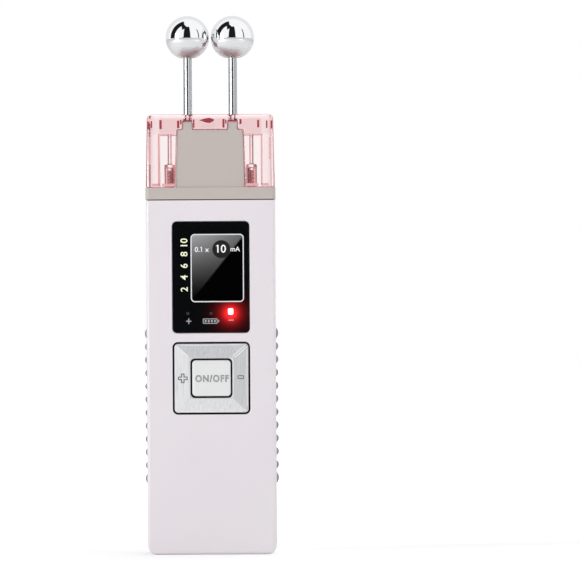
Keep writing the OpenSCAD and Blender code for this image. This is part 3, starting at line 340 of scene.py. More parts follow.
# Brass, turned: warm yellow
BRASS = brushed("brass_turned", "b8923e", "d0ab55", 0.28, 0.1, 0, 1.0)
# Chrome plate on a polished ball: a mirror with a pale rim of painted shade, duller underneath
CHROME = chrome_plate("chrome_plate_polished", 0.012, "eeeeef", 0.42, 0.5, foot=0.42)
# The stems are drawn, so their plate is softer; their grey sides and right side are painted shade
DRAWN_CHROME = chrome_plate("chrome_plate_drawn", 0.12, "b2b4b7", 0.05, 0.16, 0.22)
# Steel, blackened in hot oil: the pivots don't show in the gap round the keys
BLACK_STEEL = brushed("steel_oil_blackened", "151516", "1e1e20", 0.5, 0.1, 0, 0.6)
# Acrylic, moulded and polished: clear, pink where the eye looks through much of it, with a pale band
# along its top as a painted highlight
COVER = clear("acrylic_moulded_tinted_pink", "fffafa", "cc4c5a", 0.015, 1.49, 9, "ff9aa4", 7.0,
              ("eedadb", COVER_HIGH.z - BLOCK_H, COVER_HIGH.z - BLOCK_SKIN, BLOCK_HALF))
# Painted shade: deep pink marks laid on the cover where its refraction shows dark
PAINTED_SHADE_PINK = moulded("painted_shade_deep_pink", "8e2936", "aa414e", 0.3, 0.4, 0.05, IOR=1.49)
# Painted refraction: soft pink streaks laid on the cover
PAINTED_REFRACTION_PINK = moulded("painted_refraction_soft_pink", "dca0a4", "e8b4b7", 0.3, 0.4, 0.05, IOR=1.49)
# Steel thread with painted light: deep pink, and glowing though it is no lamp, as if lit by the head's
# lamps
PAINTED_GLOW_THREAD = moulded("stainless_steel_thread_painted_glow", "b04853", "c4606a", 0.35, 0.2, 0.05,
                     **{"Emission Color": linear("b04853"), "Emission Strength": 0.6})
# Polycarbonate, moulded and polished: clear pipes that carry the lights to the window
PIPE = clear("polycarbonate_moulded_clear", "eef4f8", "c4d0d8", 0.05, 1.58, 4)
# Acrylic printed on its back and glass over the display: black, with a hard reflection
WINDOW = printed_window(led_at)
SCREEN = display_glass(LCD_LOW, LCD_HIGH)
# Screen-printed inks: flat, crisp characters; all but the black give off a faint painted glow
WHITE_INK = ink("screen_print_white", "e9eaec", 0.25)
SILVER_INK = ink("screen_print_silver", "dcdee0", 0.15)
GREY_INK = ink("screen_print_grey", "9ea4a9", 0.1)
CREAM_INK = ink("screen_print_cream", "e9ecc9", 0.25)
BLACK_INK = ink("screen_print_black", "050506")
# Diodes in clear epoxy: the lit ones bright, the unlit ones a dark red, their lenses in the window
RED_LIGHT = ink("diode_epoxy_lit_red", "ff2a2a", 3.0)
DARK_LIGHT = ink("diode_epoxy_unlit", "4a1a1c")
PINK_LIGHT = ink("diode_epoxy_lit_pink", "ff8f9c", 1.5)
LENS_LIT = ink("diode_lens_lit", "fff0f0", 1.6)
LENS_UNLIT = ink("diode_lens_unlit", "2b2c2e")
# Glass-epoxy boards: green gloss with paler tracks
BOARD = solder_mask()


# ---------- building pieces ----------


def finish_piece(name, bm, material, body, stands_for=(), smooth=30.0):
    """Turns mesh code into a shaded piece that rides on a body."""
    bmesh.ops.recalc_face_normals(bm, faces=bm.faces)
    mesh = bpy.data.meshes.new(name)
    bm.to_mesh(mesh)
    bm.free()
    if "custom_normal" in mesh.attributes:
        mesh.attributes.remove(mesh.attributes["custom_normal"])
    mesh.materials.append(material)
    for face in mesh.polygons:
        face.use_smooth = True
        face.material_index = 0
    mesh.set_sharp_from_angle(angle=math.radians(smooth))
    piece = bpy.data.objects.new(name, mesh)
    bpy.context.scene.collection.objects.link(piece)
    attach(piece, body)
    if stands_for:
        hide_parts(*stands_for)
    flat_faces = piece.modifiers.new("flat_faces", "WEIGHTED_NORMAL")
    flat_faces.keep_sharp = True


def mesh_of(node):
    """A CAD node's mesh with its split corners joined."""
    bm = bmesh.new()
    bm.from_mesh(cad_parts[node].data)
    bmesh.ops.remove_doubles(bm, verts=bm.verts, dist=0.001 * MM)
    return bm


def soften(bm, width_mm, limit=25.0, segments=3, chosen=None):
    """Rounds the edges where two faces meet at more than limit degrees."""
    sharp = [e for e in bm.edges
             if len(e.link_faces) == 2 and e.calc_face_angle(0.0) > math.radians(limit)
             and (chosen is None or chosen(e))]
    bmesh.ops.bevel(bm, geom=sharp, offset=width_mm * MM, offset_type="OFFSET", profile=0.5,
                    segments=segments, affect="EDGES", clamp_overlap=False, loop_slide=False)
    bmesh.ops.dissolve_degenerate(bm, dist=0.002 * MM, edges=bm.edges)


def dressed(node, material, body, width_mm, limit=25.0, segments=3, chosen=None):
    """A CAD piece with its edges rounded as its mould or cutter leaves them."""
    bm = mesh_of(node)
    soften(bm, width_mm, limit, segments, chosen)
    finish_piece("skin_" + node, bm, material, body, (node,))


def turned(name, profile, x, material, body, stands_for, steps):
    """A piece turned about an upright axis at x; profile gives (radius, height) in metres."""
    bm = bmesh.new()
    rings = []
    for radius, height in profile:
        if radius < 1e-9:
            rings.append([bm.verts.new((x, 0, height))])
        else:
            rings.append([bm.verts.new((x + radius * math.cos(math.tau * k / steps),
                                        radius * math.sin(math.tau * k / steps), height))
                          for k in range(steps)])
    for low, high in zip(rings, rings[1:]):
        for k in range(steps):
            a, b = low[k % len(low)], low[(k + 1) % len(low)]
            c, d = high[(k + 1) % len(high)], high[k % len(high)]
            corners = [v for n, v in enumerate((a, b, c, d)) if v not in (a, b, c, d)[:n]]
            if len(corners) > 2:
                bm.faces.new(corners)
    finish_piece(name, bm, material, body, stands_for, smooth=40.0)


def round_rect(w, h, r, per_corner=8):
    """Points of a rectangle with round corners, about the origin."""
    points = []
    for cx, cz, start in ((w / 2 - r, h / 2 - r, 0), (-w / 2 + r, h / 2 - r, 90),
                          (-w / 2 + r, -h / 2 + r, 180), (w / 2 - r, -h / 2 + r, 270)):
        for k in range(per_corner + 1):
            a = math.radians(start + 90 * k / per_corner)
            points.append((cx + r * math.cos(a), cz + r * math.sin(a)))
    return points


def plate(bm, outline, centre, face_y, thick, inner=None):
    """A flat plate that faces -Y, with its face at face_y; inner is an outline cut out of it."""
    def ring(points, y):
        return [bm.verts.new((centre[0] + p[0], y, centre[1] + p[1])) for p in points]

    front, back = ring(outline, face_y), ring(outline, face_y + thick)
    count = len(outline)
    loops = [(front, back)]
    if inner:
        hole_front, hole_back = ring(inner, face_y), ring(inner, face_y + thick)
        loops += [(hole_back, hole_front), (hole_front, front), (back, hole_back)]
    else:
        bm.faces.new(front)
        bm.faces.new(back[::-1])
    for first, second in loops:
        for k in range(count):
            n = (k + 1) % count
            bm.faces.new((first[k], first[n], second[n], second[k]))


def lettering(words, height, place, turn=0.0, width=None, outlined=False, thick=0.03 * MM,
              apart=1.0):
    """The mesh of generic characters that stand up facing -Y, centred on place.

    outlined draws them as a raised line instead of filled, apart spreads them.
    """
    curve = bpy.data.curves.new("characters", "FONT")
    curve.body = words
    curve.align_x, curve.align_y = "CENTER", "CENTER"
    curve.space_character = apart
    # Depths and widths are shares of the characters' height until the mesh is scaled
    if outlined:
        curve.fill_mode, curve.bevel_depth, curve.bevel_resolution = "NONE", 0.021, 2
        curve.resolution_u = 6
    else:
        curve.offset, curve.extrude = 0.012, 0.01
    holder = bpy.data.objects.new("characters", curve)
    bpy.context.scene.collection.objects.link(holder)
    bpy.context.view_layer.update()
    raw = bpy.data.meshes.new_from_object(
        holder.evaluated_get(bpy.context.evaluated_depsgraph_get()))
    bm = bmesh.new()
    bm.from_mesh(raw)
    bpy.data.objects.remove(holder)
    bpy.data.curves.remove(curve)
    bpy.data.meshes.remove(raw)
    low = Vector([min(v.co[i] for v in bm.verts) for i in range(3)])
    high = Vector([max(v.co[i] for v in bm.verts) for i in range(3)])
    bmesh.ops.remove_doubles(bm, verts=bm.verts, dist=1e-5)
    size, centre = high - low, (high + low) / 2
    up = height / size.y
    across = width / size.x if width else up
    deep = thick / size.z
    spin = Matrix.Rotation(turn, 4, "Y")
    for v in bm.verts:
        p = v.co - centre
        v.co = Vector(place) + spin @ Vector((p.x * across, -p.z * deep, p.y * up))
    return bm


def join(*meshes):
    """Several meshes as one."""
    whole = bmesh.new()
    for bm in meshes:
        part = bpy.data.meshes.new("part")
        bm.to_mesh(part)
        bm.free()
        whole.from_mesh(part)
        bpy.data.meshes.remove(part)
    return whole


# ---------- shells, grips, base and cover ----------

dressed("front_shell", SHELL, "handle", 0.22)
dressed("rear_shell", SHELL, "handle", 0.18)
dressed("grip_left", GRIP, "handle", 0.12, limit=40)
dressed("grip_right", GRIP, "handle", 0.12, limit=40)
dressed("parting_gasket", SEAL, "handle", 0.05, segments=2)
dressed("head_base", BASE, "head", 0.2)
dressed("head_cover", COVER, "head", 0.4)
dressed("display_window", WINDOW, "handle", 0.1, segments=1)

# ---------- keys ----------


def on_the_front(edge):
    """True for an edge of the keys' front faces."""
    return all(v.co.y < RING_BACK for v in edge.verts)


def loft(bm, rings):
    """Skins a row of rings of points, with as many points each, and caps both ends."""
    rows = [[bm.verts.new(point) for point in ring] for ring in rings]
    count = len(rows[0])
    for first, second in zip(rows, rows[1:]):
        for k in range(count):
            n = (k + 1) % count
            bm.faces.new((first[k], first[n], second[n], second[k]))
    bm.faces.new(rows[0][::-1])
    bm.faces.new(rows[-1])


RING_LOW, RING_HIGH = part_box("key_ring")
BUTTON_LOW, BUTTON_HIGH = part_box("power_button")
KEY_Z = (RING_LOW.z + RING_HIGH.z) / 2
KEY_HALF, KEY_TALL = (RING_HIGH.x - RING_LOW.x) / 2, (RING_HIGH.z - RING_LOW.z) / 2
RING_BACK = RING_LOW.y + 3 * MM
dressed("key_ring", KEY, "rocker_key", 0.16, limit=9, chosen=on_the_front)

BUTTON_W, BUTTON_H = BUTTON_HIGH.x - BUTTON_LOW.x, BUTTON_HIGH.z - BUTTON_LOW.z
BUTTON_R = 1.2 * MM
# The cap's rounded edge and thickness, and the square shank behind it
CAP_EDGE, CAP_T = 0.45 * MM, 3.2 * MM
SHANK, SHANK_R = 7 * MM, 0.1 * MM
EDGE_STEPS = 5


def slab(w, h, r, y):
    """A ring of points round an upright rectangle with round corners, at the keys' middle."""
    return [(px, y, KEY_Z + pz) for px, pz in round_rect(w, h, r)]


button = bmesh.new()
CAP_BACK = BUTTON_LOW.y + CAP_T
rings = [slab(SHANK, SHANK, SHANK_R, BUTTON_HIGH.y), slab(SHANK, SHANK, SHANK_R, CAP_BACK),
         slab(BUTTON_W, BUTTON_H, BUTTON_R, CAP_BACK)]
for k in range(EDGE_STEPS + 1):
    a = math.radians(90 * k / EDGE_STEPS)
    inset = CAP_EDGE * (1 - math.cos(a))
    rings.append(slab(BUTTON_W - 2 * inset, BUTTON_H - 2 * inset, BUTTON_R - 0.6 * inset,
                      BUTTON_LOW.y + CAP_EDGE * (1 - math.sin(a))))
loft(button, rings)
finish_piece("button_cap", button, BUTTON, "power_key", ("power_button",))

# The key slopes up to the edge round its hole, which stands clear of the button
BEVEL_H = 1.0 * MM
BUTTON_GAP, HOLE_EDGE = 0.65 * MM, 0.3 * MM
HOLE_HALF = BUTTON_W / 2 + BUTTON_GAP + HOLE_EDGE
HOLE_TALL = BUTTON_H / 2 + BUTTON_GAP + HOLE_EDGE


def on_bevel(bm, raise_by):
    """Lays marks that were drawn at y = 0 on the key's side bevels, raise_by above them."""
    for v in bm.verts:
        share = (KEY_HALF - abs(v.co.x)) / (KEY_HALF - HOLE_HALF)
        v.co.y += RING_LOW.y + BEVEL_H * (1 - share) - raise_by
    return bm


def plus_outline(reach, arm):
    """The corners of a plus, reach from its middle, arm half as wide as its bars."""
    quarter = [(arm, reach), (arm, arm), (reach, arm), (reach, -arm), (arm, -arm), (arm, -reach)]
    return quarter + [(-x, -z) for x, z in quarter]


def traced(outline, centre, line, thick):
    """A raised line of a given width along a closed outline, drawn at y = 0."""
    bm = bmesh.new()
    count = len(outline)
    inner = []
    for k, (x, z) in enumerate(outline):
        before, after = outline[k - 1], outline[(k + 1) % count]
        a = Vector((x - before[0], z - before[1])).normalized()
        b = Vector((after[0] - x, after[1] - z)).normalized()
        normal = (Vector((a.y, -a.x)) + Vector((b.y, -b.x))).normalized()
        spread = max(0.35, normal.dot(Vector((a.y, -a.x))))
        inner.append((x + normal.x * line / spread, z + normal.y * line / spread))
    plate(bm, outline, centre, -thick / 2, thick, inner)
    return bm


ABOVE, MARK_T = 0.05 * MM, 0.1 * MM
PLUS_AT, MINUS_AT = (-9.75 * MM, KEY_Z), (9.95 * MM, KEY_Z + 0.3 * MM)
# The marks' outlines are painted shade
key_marks = join(
    traced(plus_outline(1.6 * MM, 0.55 * MM), PLUS_AT, 0.24 * MM, MARK_T),
    traced(round_rect(1.7 * MM, 0.8 * MM, 0.12 * MM, 3), MINUS_AT, 0.2 * MM, MARK_T))
finish_piece("key_marks", on_bevel(key_marks, ABOVE), MARK_SHADE, "rocker_key")


def strip(bm, start, end, width):
    """A thin strip from start to end, as (x, z) from the keys' middle, just above the bevel."""
    along = (end - start).normalized()
    across = Vector((-along.y, along.x)) * width / 2
    corners = []
    for point, side in ((start, -1), (end, -1), (end, 1), (start, 1)):
        corner = point + across * side
        lean_x = (KEY_HALF - abs(point.x)) / (KEY_HALF - HOLE_HALF)
        lean_z = (KEY_TALL - abs(point.y)) / (KEY_TALL - HOLE_TALL)
        y = RING_LOW.y + BEVEL_H * (1 - min(lean_x, lean_z)) - 2 * ABOVE
        corners.append(Vector((corner.x, y, KEY_Z + corner.y)))
    deeper = Vector((0, STRIP_T, 0))
    loft(bm, [corners, [c + deeper for c in corners]])


# Painted highlights: bright lines along the upper mitres, double at the right, and along the outer
# edge
STRIP_T = 0.15 * MM
MITRE_W, RIM_W = 0.34 * MM, 0.2 * MM
HOLE_OUT, CORNER_IN, RIM_IN, STRAIGHT_IN = 0.25 * MM, 0.75 * MM, 0.42 * MM, 2 * MM
MITRES_APART = 0.28 * MM
mitres = bmesh.new()
for right, shift in ((1, -MITRES_APART), (1, MITRES_APART), (-1, 0)):
    aside = Vector((-1, right)) * shift
    strip(mitres, Vector((right * (HOLE_HALF + HOLE_OUT), HOLE_TALL + HOLE_OUT)) + aside,
          Vector((right * (KEY_HALF - CORNER_IN), KEY_TALL - CORNER_IN)) + aside, MITRE_W)
rim_x, rim_z = KEY_HALF - RIM_IN, KEY_TALL - RIM_IN
straight_x, straight_z = KEY_HALF - STRAIGHT_IN, KEY_TALL - STRAIGHT_IN
strip(mitres, Vector((rim_x, -straight_z)), Vector((rim_x, straight_z)), RIM_W)
for z in (-rim_z, rim_z):
    strip(mitres, Vector((-straight_x, z)), Vector((straight_x, z)), RIM_W)
finish_piece("key_painted_highlights", mitres, MITRE_HIGHLIGHT, "rocker_key")

# The outlined letters are painted shade
ON_OFF_AT = (0.2 * MM, BUTTON_LOW.y - 0.02 * MM, KEY_Z - 0.1 * MM)
on_off = lettering("ON/OFF", 2.35 * MM, ON_OFF_AT,
                   width=11.3 * MM, outlined=True, thick=0.14 * MM, apart=1.2)
finish_piece("button_marks", on_off, MARK_SHADE, "power_key")

# ---------- display prints ----------

# Each print is a film FILM thick that stands a little out of the window
FRONT_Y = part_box("display_window")[0].y
FILM = 0.03 * MM
PRINT_Y = FRONT_Y - FILM
SCREEN_W, SCREEN_H, SCREEN_R = 17.9 * MM, 23.0 * MM, 1.3 * MM
LCD_CENTRE = ((LCD_LOW.x + LCD_HIGH.x) / 2 - 0.15 * MM, (LCD_LOW.z + LCD_HIGH.z) / 2)
LINE, INK_T = 0.36 * MM, 0.04 * MM

screen = bmesh.new()
plate(screen, round_rect(SCREEN_W, SCREEN_H, SCREEN_R), LCD_CENTRE, FRONT_Y - FILM / 2, FILM)
finish_piece("screen_glass", screen, SCREEN, "handle")

outline = bmesh.new()
plate(outline, round_rect(SCREEN_W + LINE / 2, SCREEN_H + LINE / 2, SCREEN_R + LINE / 4),
      LCD_CENTRE, PRINT_Y, INK_T,
      round_rect(SCREEN_W - 1.5 * LINE, SCREEN_H - 1.5 * LINE, SCREEN_R - 0.75 * LINE))
finish_piece("screen_outline", outline, SILVER_INK, "handle")


def flag(x, z, size):
    """The short slanting stroke at the top of a printed 1, whose outer end is at x, z."""
    bm = bmesh.new()
    stroke = [(0, 0), (size, 0.45 * size), (size, 0.85 * size), (0, 0.4 * size)]
    plate(bm, stroke, (x, z), PRINT_Y, FILM)
    return bm


# The reading's row, with a black disc behind its large number
READING_Z = 103.8 * MM
PATCH_D, PATCH_Y = 6.1 * MM, FRONT_Y - 0.025 * MM
patch = bmesh.new()
plate(patch, round_rect(PATCH_D, PATCH_D, 3.04 * MM, 12), (3.6 * MM, READING_Z), PATCH_Y, FILM)
finish_piece("reading_patch", patch, BLACK_INK, "handle")

reading = join(
    lettering("0.1 x", 1.75 * MM, (-3.0 * MM, PRINT_Y, READING_Z - 0.05 * MM)),
    lettering("10", 2.7 * MM, (3.7 * MM, PRINT_Y, READING_Z + 0.15 * MM)),
    lettering("mA", 1.6 * MM, (8.35 * MM, PRINT_Y, READING_Z + 0.05 * MM), width=3.2 * MM),
    flag(1.8 * MM, READING_Z + 0.92 * MM, 0.66 * MM),
    flag(-3.64 * MM, READING_Z + 0.44 * MM, 0.42 * MM))
finish_piece("reading", reading, WHITE_INK, "handle")

# Scale numbers up the left side, turned on their side
SCALE_X, SCALE_FOOT, SCALE_STEP = -9.1 * MM, 86.2 * MM, 2 * MM
scale_numbers = join(*[
    lettering(str(n), 2.4 * MM, (SCALE_X, PRINT_Y, SCALE_FOOT + n * SCALE_STEP), turn=-math.pi / 2)
    for n in (2, 4, 6, 8, 10)])
finish_piece("scale_numbers", scale_numbers, CREAM_INK, "handle")

LIGHTS_X = [(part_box(n)[0].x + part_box(n)[1].x) / 2 for n in ("led_plus", "led_charge", "led_minus")]
LABEL_Z = 79.35 * MM


def bar(bm, x, z, w, h):
    """A printed bar on the window."""
    plate(bm, round_rect(w, h, 0.1 * MM, 2), (x, z), PRINT_Y, INK_T)


# Under the lights: a plus, a battery with four cells, and a minus
labels = bmesh.new()
STROKE = 0.34 * MM
PLUS_X, MINUS_X, CELL_X = LIGHTS_X[0] + 0.3 * MM, LIGHTS_X[2] + 0.1 * MM, LIGHTS_X[1] - 0.3 * MM
CELL_W, CELL_H, CELL_STEP = 5.0 * MM, 1.8 * MM, 1.05 * MM
bar(labels, PLUS_X, LABEL_Z, 1.75 * MM, STROKE)
for side in (-1, 1):
    bar(labels, PLUS_X, LABEL_Z + side * 0.57 * MM, STROKE, 0.8 * MM)
bar(labels, MINUS_X, LABEL_Z + 0.3 * MM, 1.7 * MM, STROKE)
plate(labels, round_rect(CELL_W, CELL_H, 0.3 * MM, 3), (CELL_X, LABEL_Z), PRINT_Y, INK_T,
      round_rect(CELL_W - 1.6 * STROKE, CELL_H - 1.6 * STROKE, 0.12 * MM, 3))
for k in range(4):
    bar(labels, CELL_X + (k - 1.5) * CELL_STEP, LABEL_Z, 0.62 * MM, 0.8 * MM)
bar(labels, CELL_X + CELL_W / 2 + STROKE, LABEL_Z, STROKE, 0.9 * MM)
finish_piece("light_labels", labels, GREY_INK, "handle")

DOT, DOT_Y = 0.95 * MM, FRONT_Y - 0.02 * MM
dots = bmesh.new()
for x in LIGHTS_X[:2]:
    plate(dots, round_rect(DOT, DOT, 0.2 * MM, 3), (x, led_at.z), DOT_Y, FILM)
finish_piece("unlit_lights", dots, LENS_UNLIT, "handle")

lamp = bmesh.new()
plate(lamp, round_rect(1.75 * MM, 2.1 * MM, 0.5 * MM, 6), (led_at.x, led_at.z + 0.6 * MM),
      PRINT_Y, INK_T)
finish_piece("lit_light", lamp, LENS_LIT, "handle")

# ---------- electrodes ----------


def arc(radius, height, start, end, steps):
    """Points of an arc about the axis, as (radius, height) pairs; angles from the equator."""
    return [(radius * math.cos(math.radians(start + (end - start) * k / steps)),
             height + radius * math.sin(math.radians(start + (end - start) * k / steps)))
            for k in range(steps + 1)]


# Each ball has a bore for its bush, whose mouth has a rounded lip
MOUTH_R, LIP, BORE_UP = 2.6 * MM, 0.25 * MM, 3.5 * MM
for side in ("left", "right"):
    low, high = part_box("ball_" + side)
    radius = (high.x - low.x) / 2
    heart = high.z - radius
    mouth_angle = -math.degrees(math.acos((MOUTH_R + LIP) / radius))
    mouth_z = heart + radius * math.sin(math.radians(mouth_angle))
    profile = [(0.0, heart + BORE_UP), (MOUTH_R, heart + BORE_UP),
               (MOUTH_R, mouth_z + LIP), (MOUTH_R + 0.07 * MM, mouth_z + 0.08 * MM)]
    profile += arc(radius, heart, mouth_angle, 89.0, 72) + [(0.0, high.z)]
    turned("chrome_ball_" + side, profile, ((low + high) / 2).x, CHROME, side + "_ball",
           ("ball_" + side,), steps=160)

# Each stem steps down to its foot in the base and has a groove for its clip
STEM_R, FOOT_R, GROOVE_R = 1.5 * MM, 0.8 * MM, 1.2 * MM
TIP_CUT, STEP_CUT = 0.2 * MM, 0.08 * MM
prong_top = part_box("head_base")[1].z
clip_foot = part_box("stem_clips")[0].z
groove_low, groove_high = clip_foot - 0.05 * MM, clip_foot + 0.45 * MM
for side in ("left", "right"):
    low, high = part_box("stem_" + side)
    profile = [(0.0, low.z), (FOOT_R - TIP_CUT, low.z), (FOOT_R, low.z + TIP_CUT),
               (FOOT_R, prong_top), (STEM_R - STEP_CUT, prong_top),
               (STEM_R, prong_top + STEP_CUT), (STEM_R, groove_low), (GROOVE_R, groove_low),
               (GROOVE_R, groove_high), (STEM_R, groove_high),
               (STEM_R, high.z - TIP_CUT), (STEM_R - TIP_CUT, high.z), (0.0, high.z)]
    turned("chrome_stem_" + side, profile, (low.x + high.x) / 2, DRAWN_CHROME, "head",
           ("stem_" + side,), steps=64)


def thread(x, low_z, high_z, core, crest, pitch):
    """A cut thread: a ridge that winds round a core at x."""
    bm = bmesh.new()
    steps, half = 24, 0.3 * pitch
    inside = 0.8 * core
    section = [(inside, -half), (core, -half), (crest, 0.0), (core, half), (inside, half)]
    count = int((high_z - low_z) / pitch * steps)
    rows = []
    for k in range(count + 1):
        a = math.tau * k / steps
        z = low_z + pitch * k / steps
        out = Vector((math.cos(a), math.sin(a), 0))
        axis = Vector((x, 0, z))
        rows.append([bm.verts.new(axis + out * r + Vector((0, 0, dz))) for r, dz in section])
    for first, second in zip(rows, rows[1:]):
        for k in range(len(section)):
            n = (k + 1) % len(section)
            bm.faces.new((first[k], first[n], second[n], second[k]))
    bm.faces.new(rows[0][::-1])
    bm.faces.new(rows[-1])
    return bm


def rod(x, low_z, high_z, radius, steps=24):
    """An upright rod with closed ends at x."""
    bm = bmesh.new()
    bmesh.ops.create_cone(bm, cap_ends=True, segments=steps, radius1=radius, radius2=radius * 0.9,
                          depth=high_z - low_z,
                          matrix=Matrix.Translation((x, 0, (low_z + high_z) / 2)))
    return bm


# The cover's screws: a flat head under the collar and a thread that bites into the boss
low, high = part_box("head_screws")
HEAD_R, HEAD_H, CORE_R, CREST_R = 1.88 * MM, 1.35 * MM, 0.62 * MM, 0.95 * MM
CORE_FROM, THREAD_FROM, THREAD_END, PITCH = 1.2 * MM, 2.4 * MM, 0.4 * MM, 1.2 * MM
SUNK = 0.02 * MM
SCREW_X = high.x - 1.9 * MM
screw_parts, ridges = [], []
for x in (-SCREW_X, SCREW_X):
    screw_parts.append(rod(x, low.z + CORE_FROM, high.z, CORE_R))
    screw_parts.append(rod(x, low.z, low.z + HEAD_H, HEAD_R, 40))
    ridges.append(thread(x, low.z + THREAD_FROM, high.z - THREAD_END, CORE_R - SUNK, CREST_R,
                         PITCH))
finish_piece("cover_screws", join(*screw_parts), STEEL, "head", ("head_screws",))
finish_piece("cover_screw_threads", join(*ridges), PAINTED_GLOW_THREAD, "head")

# Painted shade: dark red marks laid on the cover's face where its refraction shows dark, as (x, foot,
# width, height) in mm from its middle and its top
SHADE_MARKS = [(-21.0, 5.0, 0.6, 2.7), (-19.9, 4.6, 0.5, 2.4), (-16.8, 5.0, 0.8, 3.1),
           (-10.8, 4.7, 0.8, 2.6), (-9.9, 3.4, 0.5, 1.6), (-5.5, 4.6, 0.5, 2.9),
           (4.6, 4.6, 0.7, 3.0), (5.4, 3.2, 0.5, 1.3), (10.4, 3.4, 0.7, 1.7),
           (16.4, 4.6, 0.7, 2.6), (19.3, 4.8, 0.5, 2.6), (20.9, 5.0, 0.6, 2.8),
           (-7.7, 2.4, 3.5, 0.4), (7.7, 2.4, 3.5, 0.45)]
FACE_Y = COVER_LOW.y - 0.02 * MM


def face_bar(bm, x, foot, width, height):
    """A small upright bar on the cover's face; its foot is that far below the cover's top."""
    centre = (x * MM, COVER_HIGH.z - (foot - height / 2) * MM)
    plate(bm, round_rect(width * MM, height * MM, 0.15 * MM, 3), centre, FACE_Y, FILM)


shade_marks = bmesh.new()
for shade_mark in SHADE_MARKS:
    face_bar(shade_marks, *shade_mark)
# A wedge of the same painted shade between the prongs, in mm
SHADE_WEDGE = [(-3.7, 0.1), (-1.6, 0.7), (-0.2, 0.9), (1.3, 0.45), (1.3, -0.2), (-0.1, -0.9), (-1.4, -0.7)]
SHADE_WEDGE_AT = (0, COVER_HIGH.z - 2.1 * MM)
plate(shade_marks, [(x * MM, z * MM) for x, z in SHADE_WEDGE], SHADE_WEDGE_AT, FACE_Y, FILM)
finish_piece("cover_painted_shade", shade_marks, PAINTED_SHADE_PINK, "head")

# Painted refraction: soft pink streaks down the side walls and along the foot, given like the marks
# above
REFRACTION_STREAKS = [(-20.5, 17.0, 0.5, 9.5), (20.3, 15.5, 0.5, 7.5), (-17.4, 24.0, 0.3, 17.0),
           (17.4, 24.0, 0.3, 17.0), (-18.6, 24.4, 2.6, 0.9), (18.6, 24.4, 2.6, 0.9),
           (-14.2, 24.5, 4.4, 1.0), (14.2, 24.5, 4.4, 1.0)]
refraction_streaks = bmesh.new()
for refraction_streak in REFRACTION_STREAKS:
    face_bar(refraction_streaks, *refraction_streak)
finish_piece("cover_painted_refraction", refraction_streaks, PAINTED_REFRACTION_PINK, "head")

# ---------- everything else keeps its CAD mesh ----------

INSIDE = {
    STEEL: ("shell_screws", "board_screws", "battery_tabs", "stem_clips"),
    BLACK_STEEL: ("key_pivot_pins",),
    CARRIER: ("lcd_holder", "battery_connector"),
    PIPE: ("light_pipes",), DARK_LIGHT: ("led_plus", "led_charge"), RED_LIGHT: ("led_minus",),
    TRAY: ("key_frame", "power_plunger", "charge_socket", "head_socket"),
    MEMBRANE: ("rocker_pads", "power_pad"),
    EPOXY: ("switch_power", "switch_plus", "switch_minus", "controller_chip", "buzzer",
            "lcd_module"),
    BOARD: ("main_board", "head_board", "glow_strip_left", "glow_strip_right"),
    FERRITE: ("step_up_coil",), CAN_SLEEVE: ("capacitors",), SLEEVE: ("battery_cell",),
    LEAD: ("battery_leads", "socket_leads", "electrode_leads"), FOAM: ("battery_pad",),
    BRASS: ("socket_sleeves", "plug_pins", "stem_nuts", "contact_tags", "bush_left",
            "bush_right"),
    PINK_LIGHT: ("glow_leds",),
}
for material, names in INSIDE.items():
    for name in names:
        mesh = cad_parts[name].data
        mesh.materials.clear()
        mesh.materials.append(material)

# ---------- floor, light and camera ----------

world = bpy.data.worlds.new("studio")
bpy.context.scene.world = world
world.use_nodes = True
sky = world.node_tree
sky.nodes.clear()


def band(value, low, high, soft):
    """1 where value lies between low and high, with soft ends."""
    rise = add(sky, "ShaderNodeMapRange", {1: low - soft, 2: low + soft}, {0: value},
               interpolation_type="SMOOTHSTEP").outputs[0]
    fall = add(sky, "ShaderNodeMapRange", {1: high + soft, 2: high - soft}, {0: value},
               interpolation_type="SMOOTHSTEP").outputs[0]
    return times(rise, fall)


def times(*values):
    """The product of several masks."""
    product = values[0]
    for value in values[1:]:
        product = add(sky, "ShaderNodeMath", links={0: product, 1: value},
                      operation="MULTIPLY").outputs[0]
    return product


toward = add(sky, "ShaderNodeTexCoord").outputs["Generated"]
east, north, up = add(sky, "ShaderNodeSeparateXYZ", links={0: toward}).outputs
south = add(sky, "ShaderNodeMath", {1: -1.0}, {0: north}, operation="MULTIPLY").outputs[0]
bearing = add(sky, "ShaderNodeMath", links={0: east, 1: south}, operation="ARCTAN2").outputs[0]
slope = add(sky, "ShaderNodeMath", {1: 0.6}, {0: east, 2: up}, operation="MULTIPLY_ADD").outputs[0]
# Dark things round the object, as ranges of direction: the gap between the lamps with its wider
# foot, the card at the left, the slanting arm between them and the thin stand at the right
BELOW, OVERHEAD = -0.3, 1.2
gap = times(band(bearing, -0.34, 0.30, 0.02), band(up, BELOW, 0.86, 0.02))
foot = times(band(bearing, -0.46, 0.36, 0.03), band(up, BELOW, 0.03, 0.02))
card = times(band(north, -0.34, 0.15, 0.03), band(east, -1.2, -0.2, 0.03),
             band(up, BELOW, OVERHEAD, 0.02))
arm = times(band(north, -0.66, -0.3, 0.03), band(east, -0.42, 0.04, 0.03),
            band(slope, 0.3, 0.83, 0.015))
stand = times(band(bearing, 1.06, 1.16, 0.02), band(up, BELOW, 0.62, 0.03))
dark = gap
for mask in (card, stand, arm, foot):
    dark = add(sky, "ShaderNodeMath", links={0: dark, 1: mask}, operation="MAXIMUM").outputs[0]
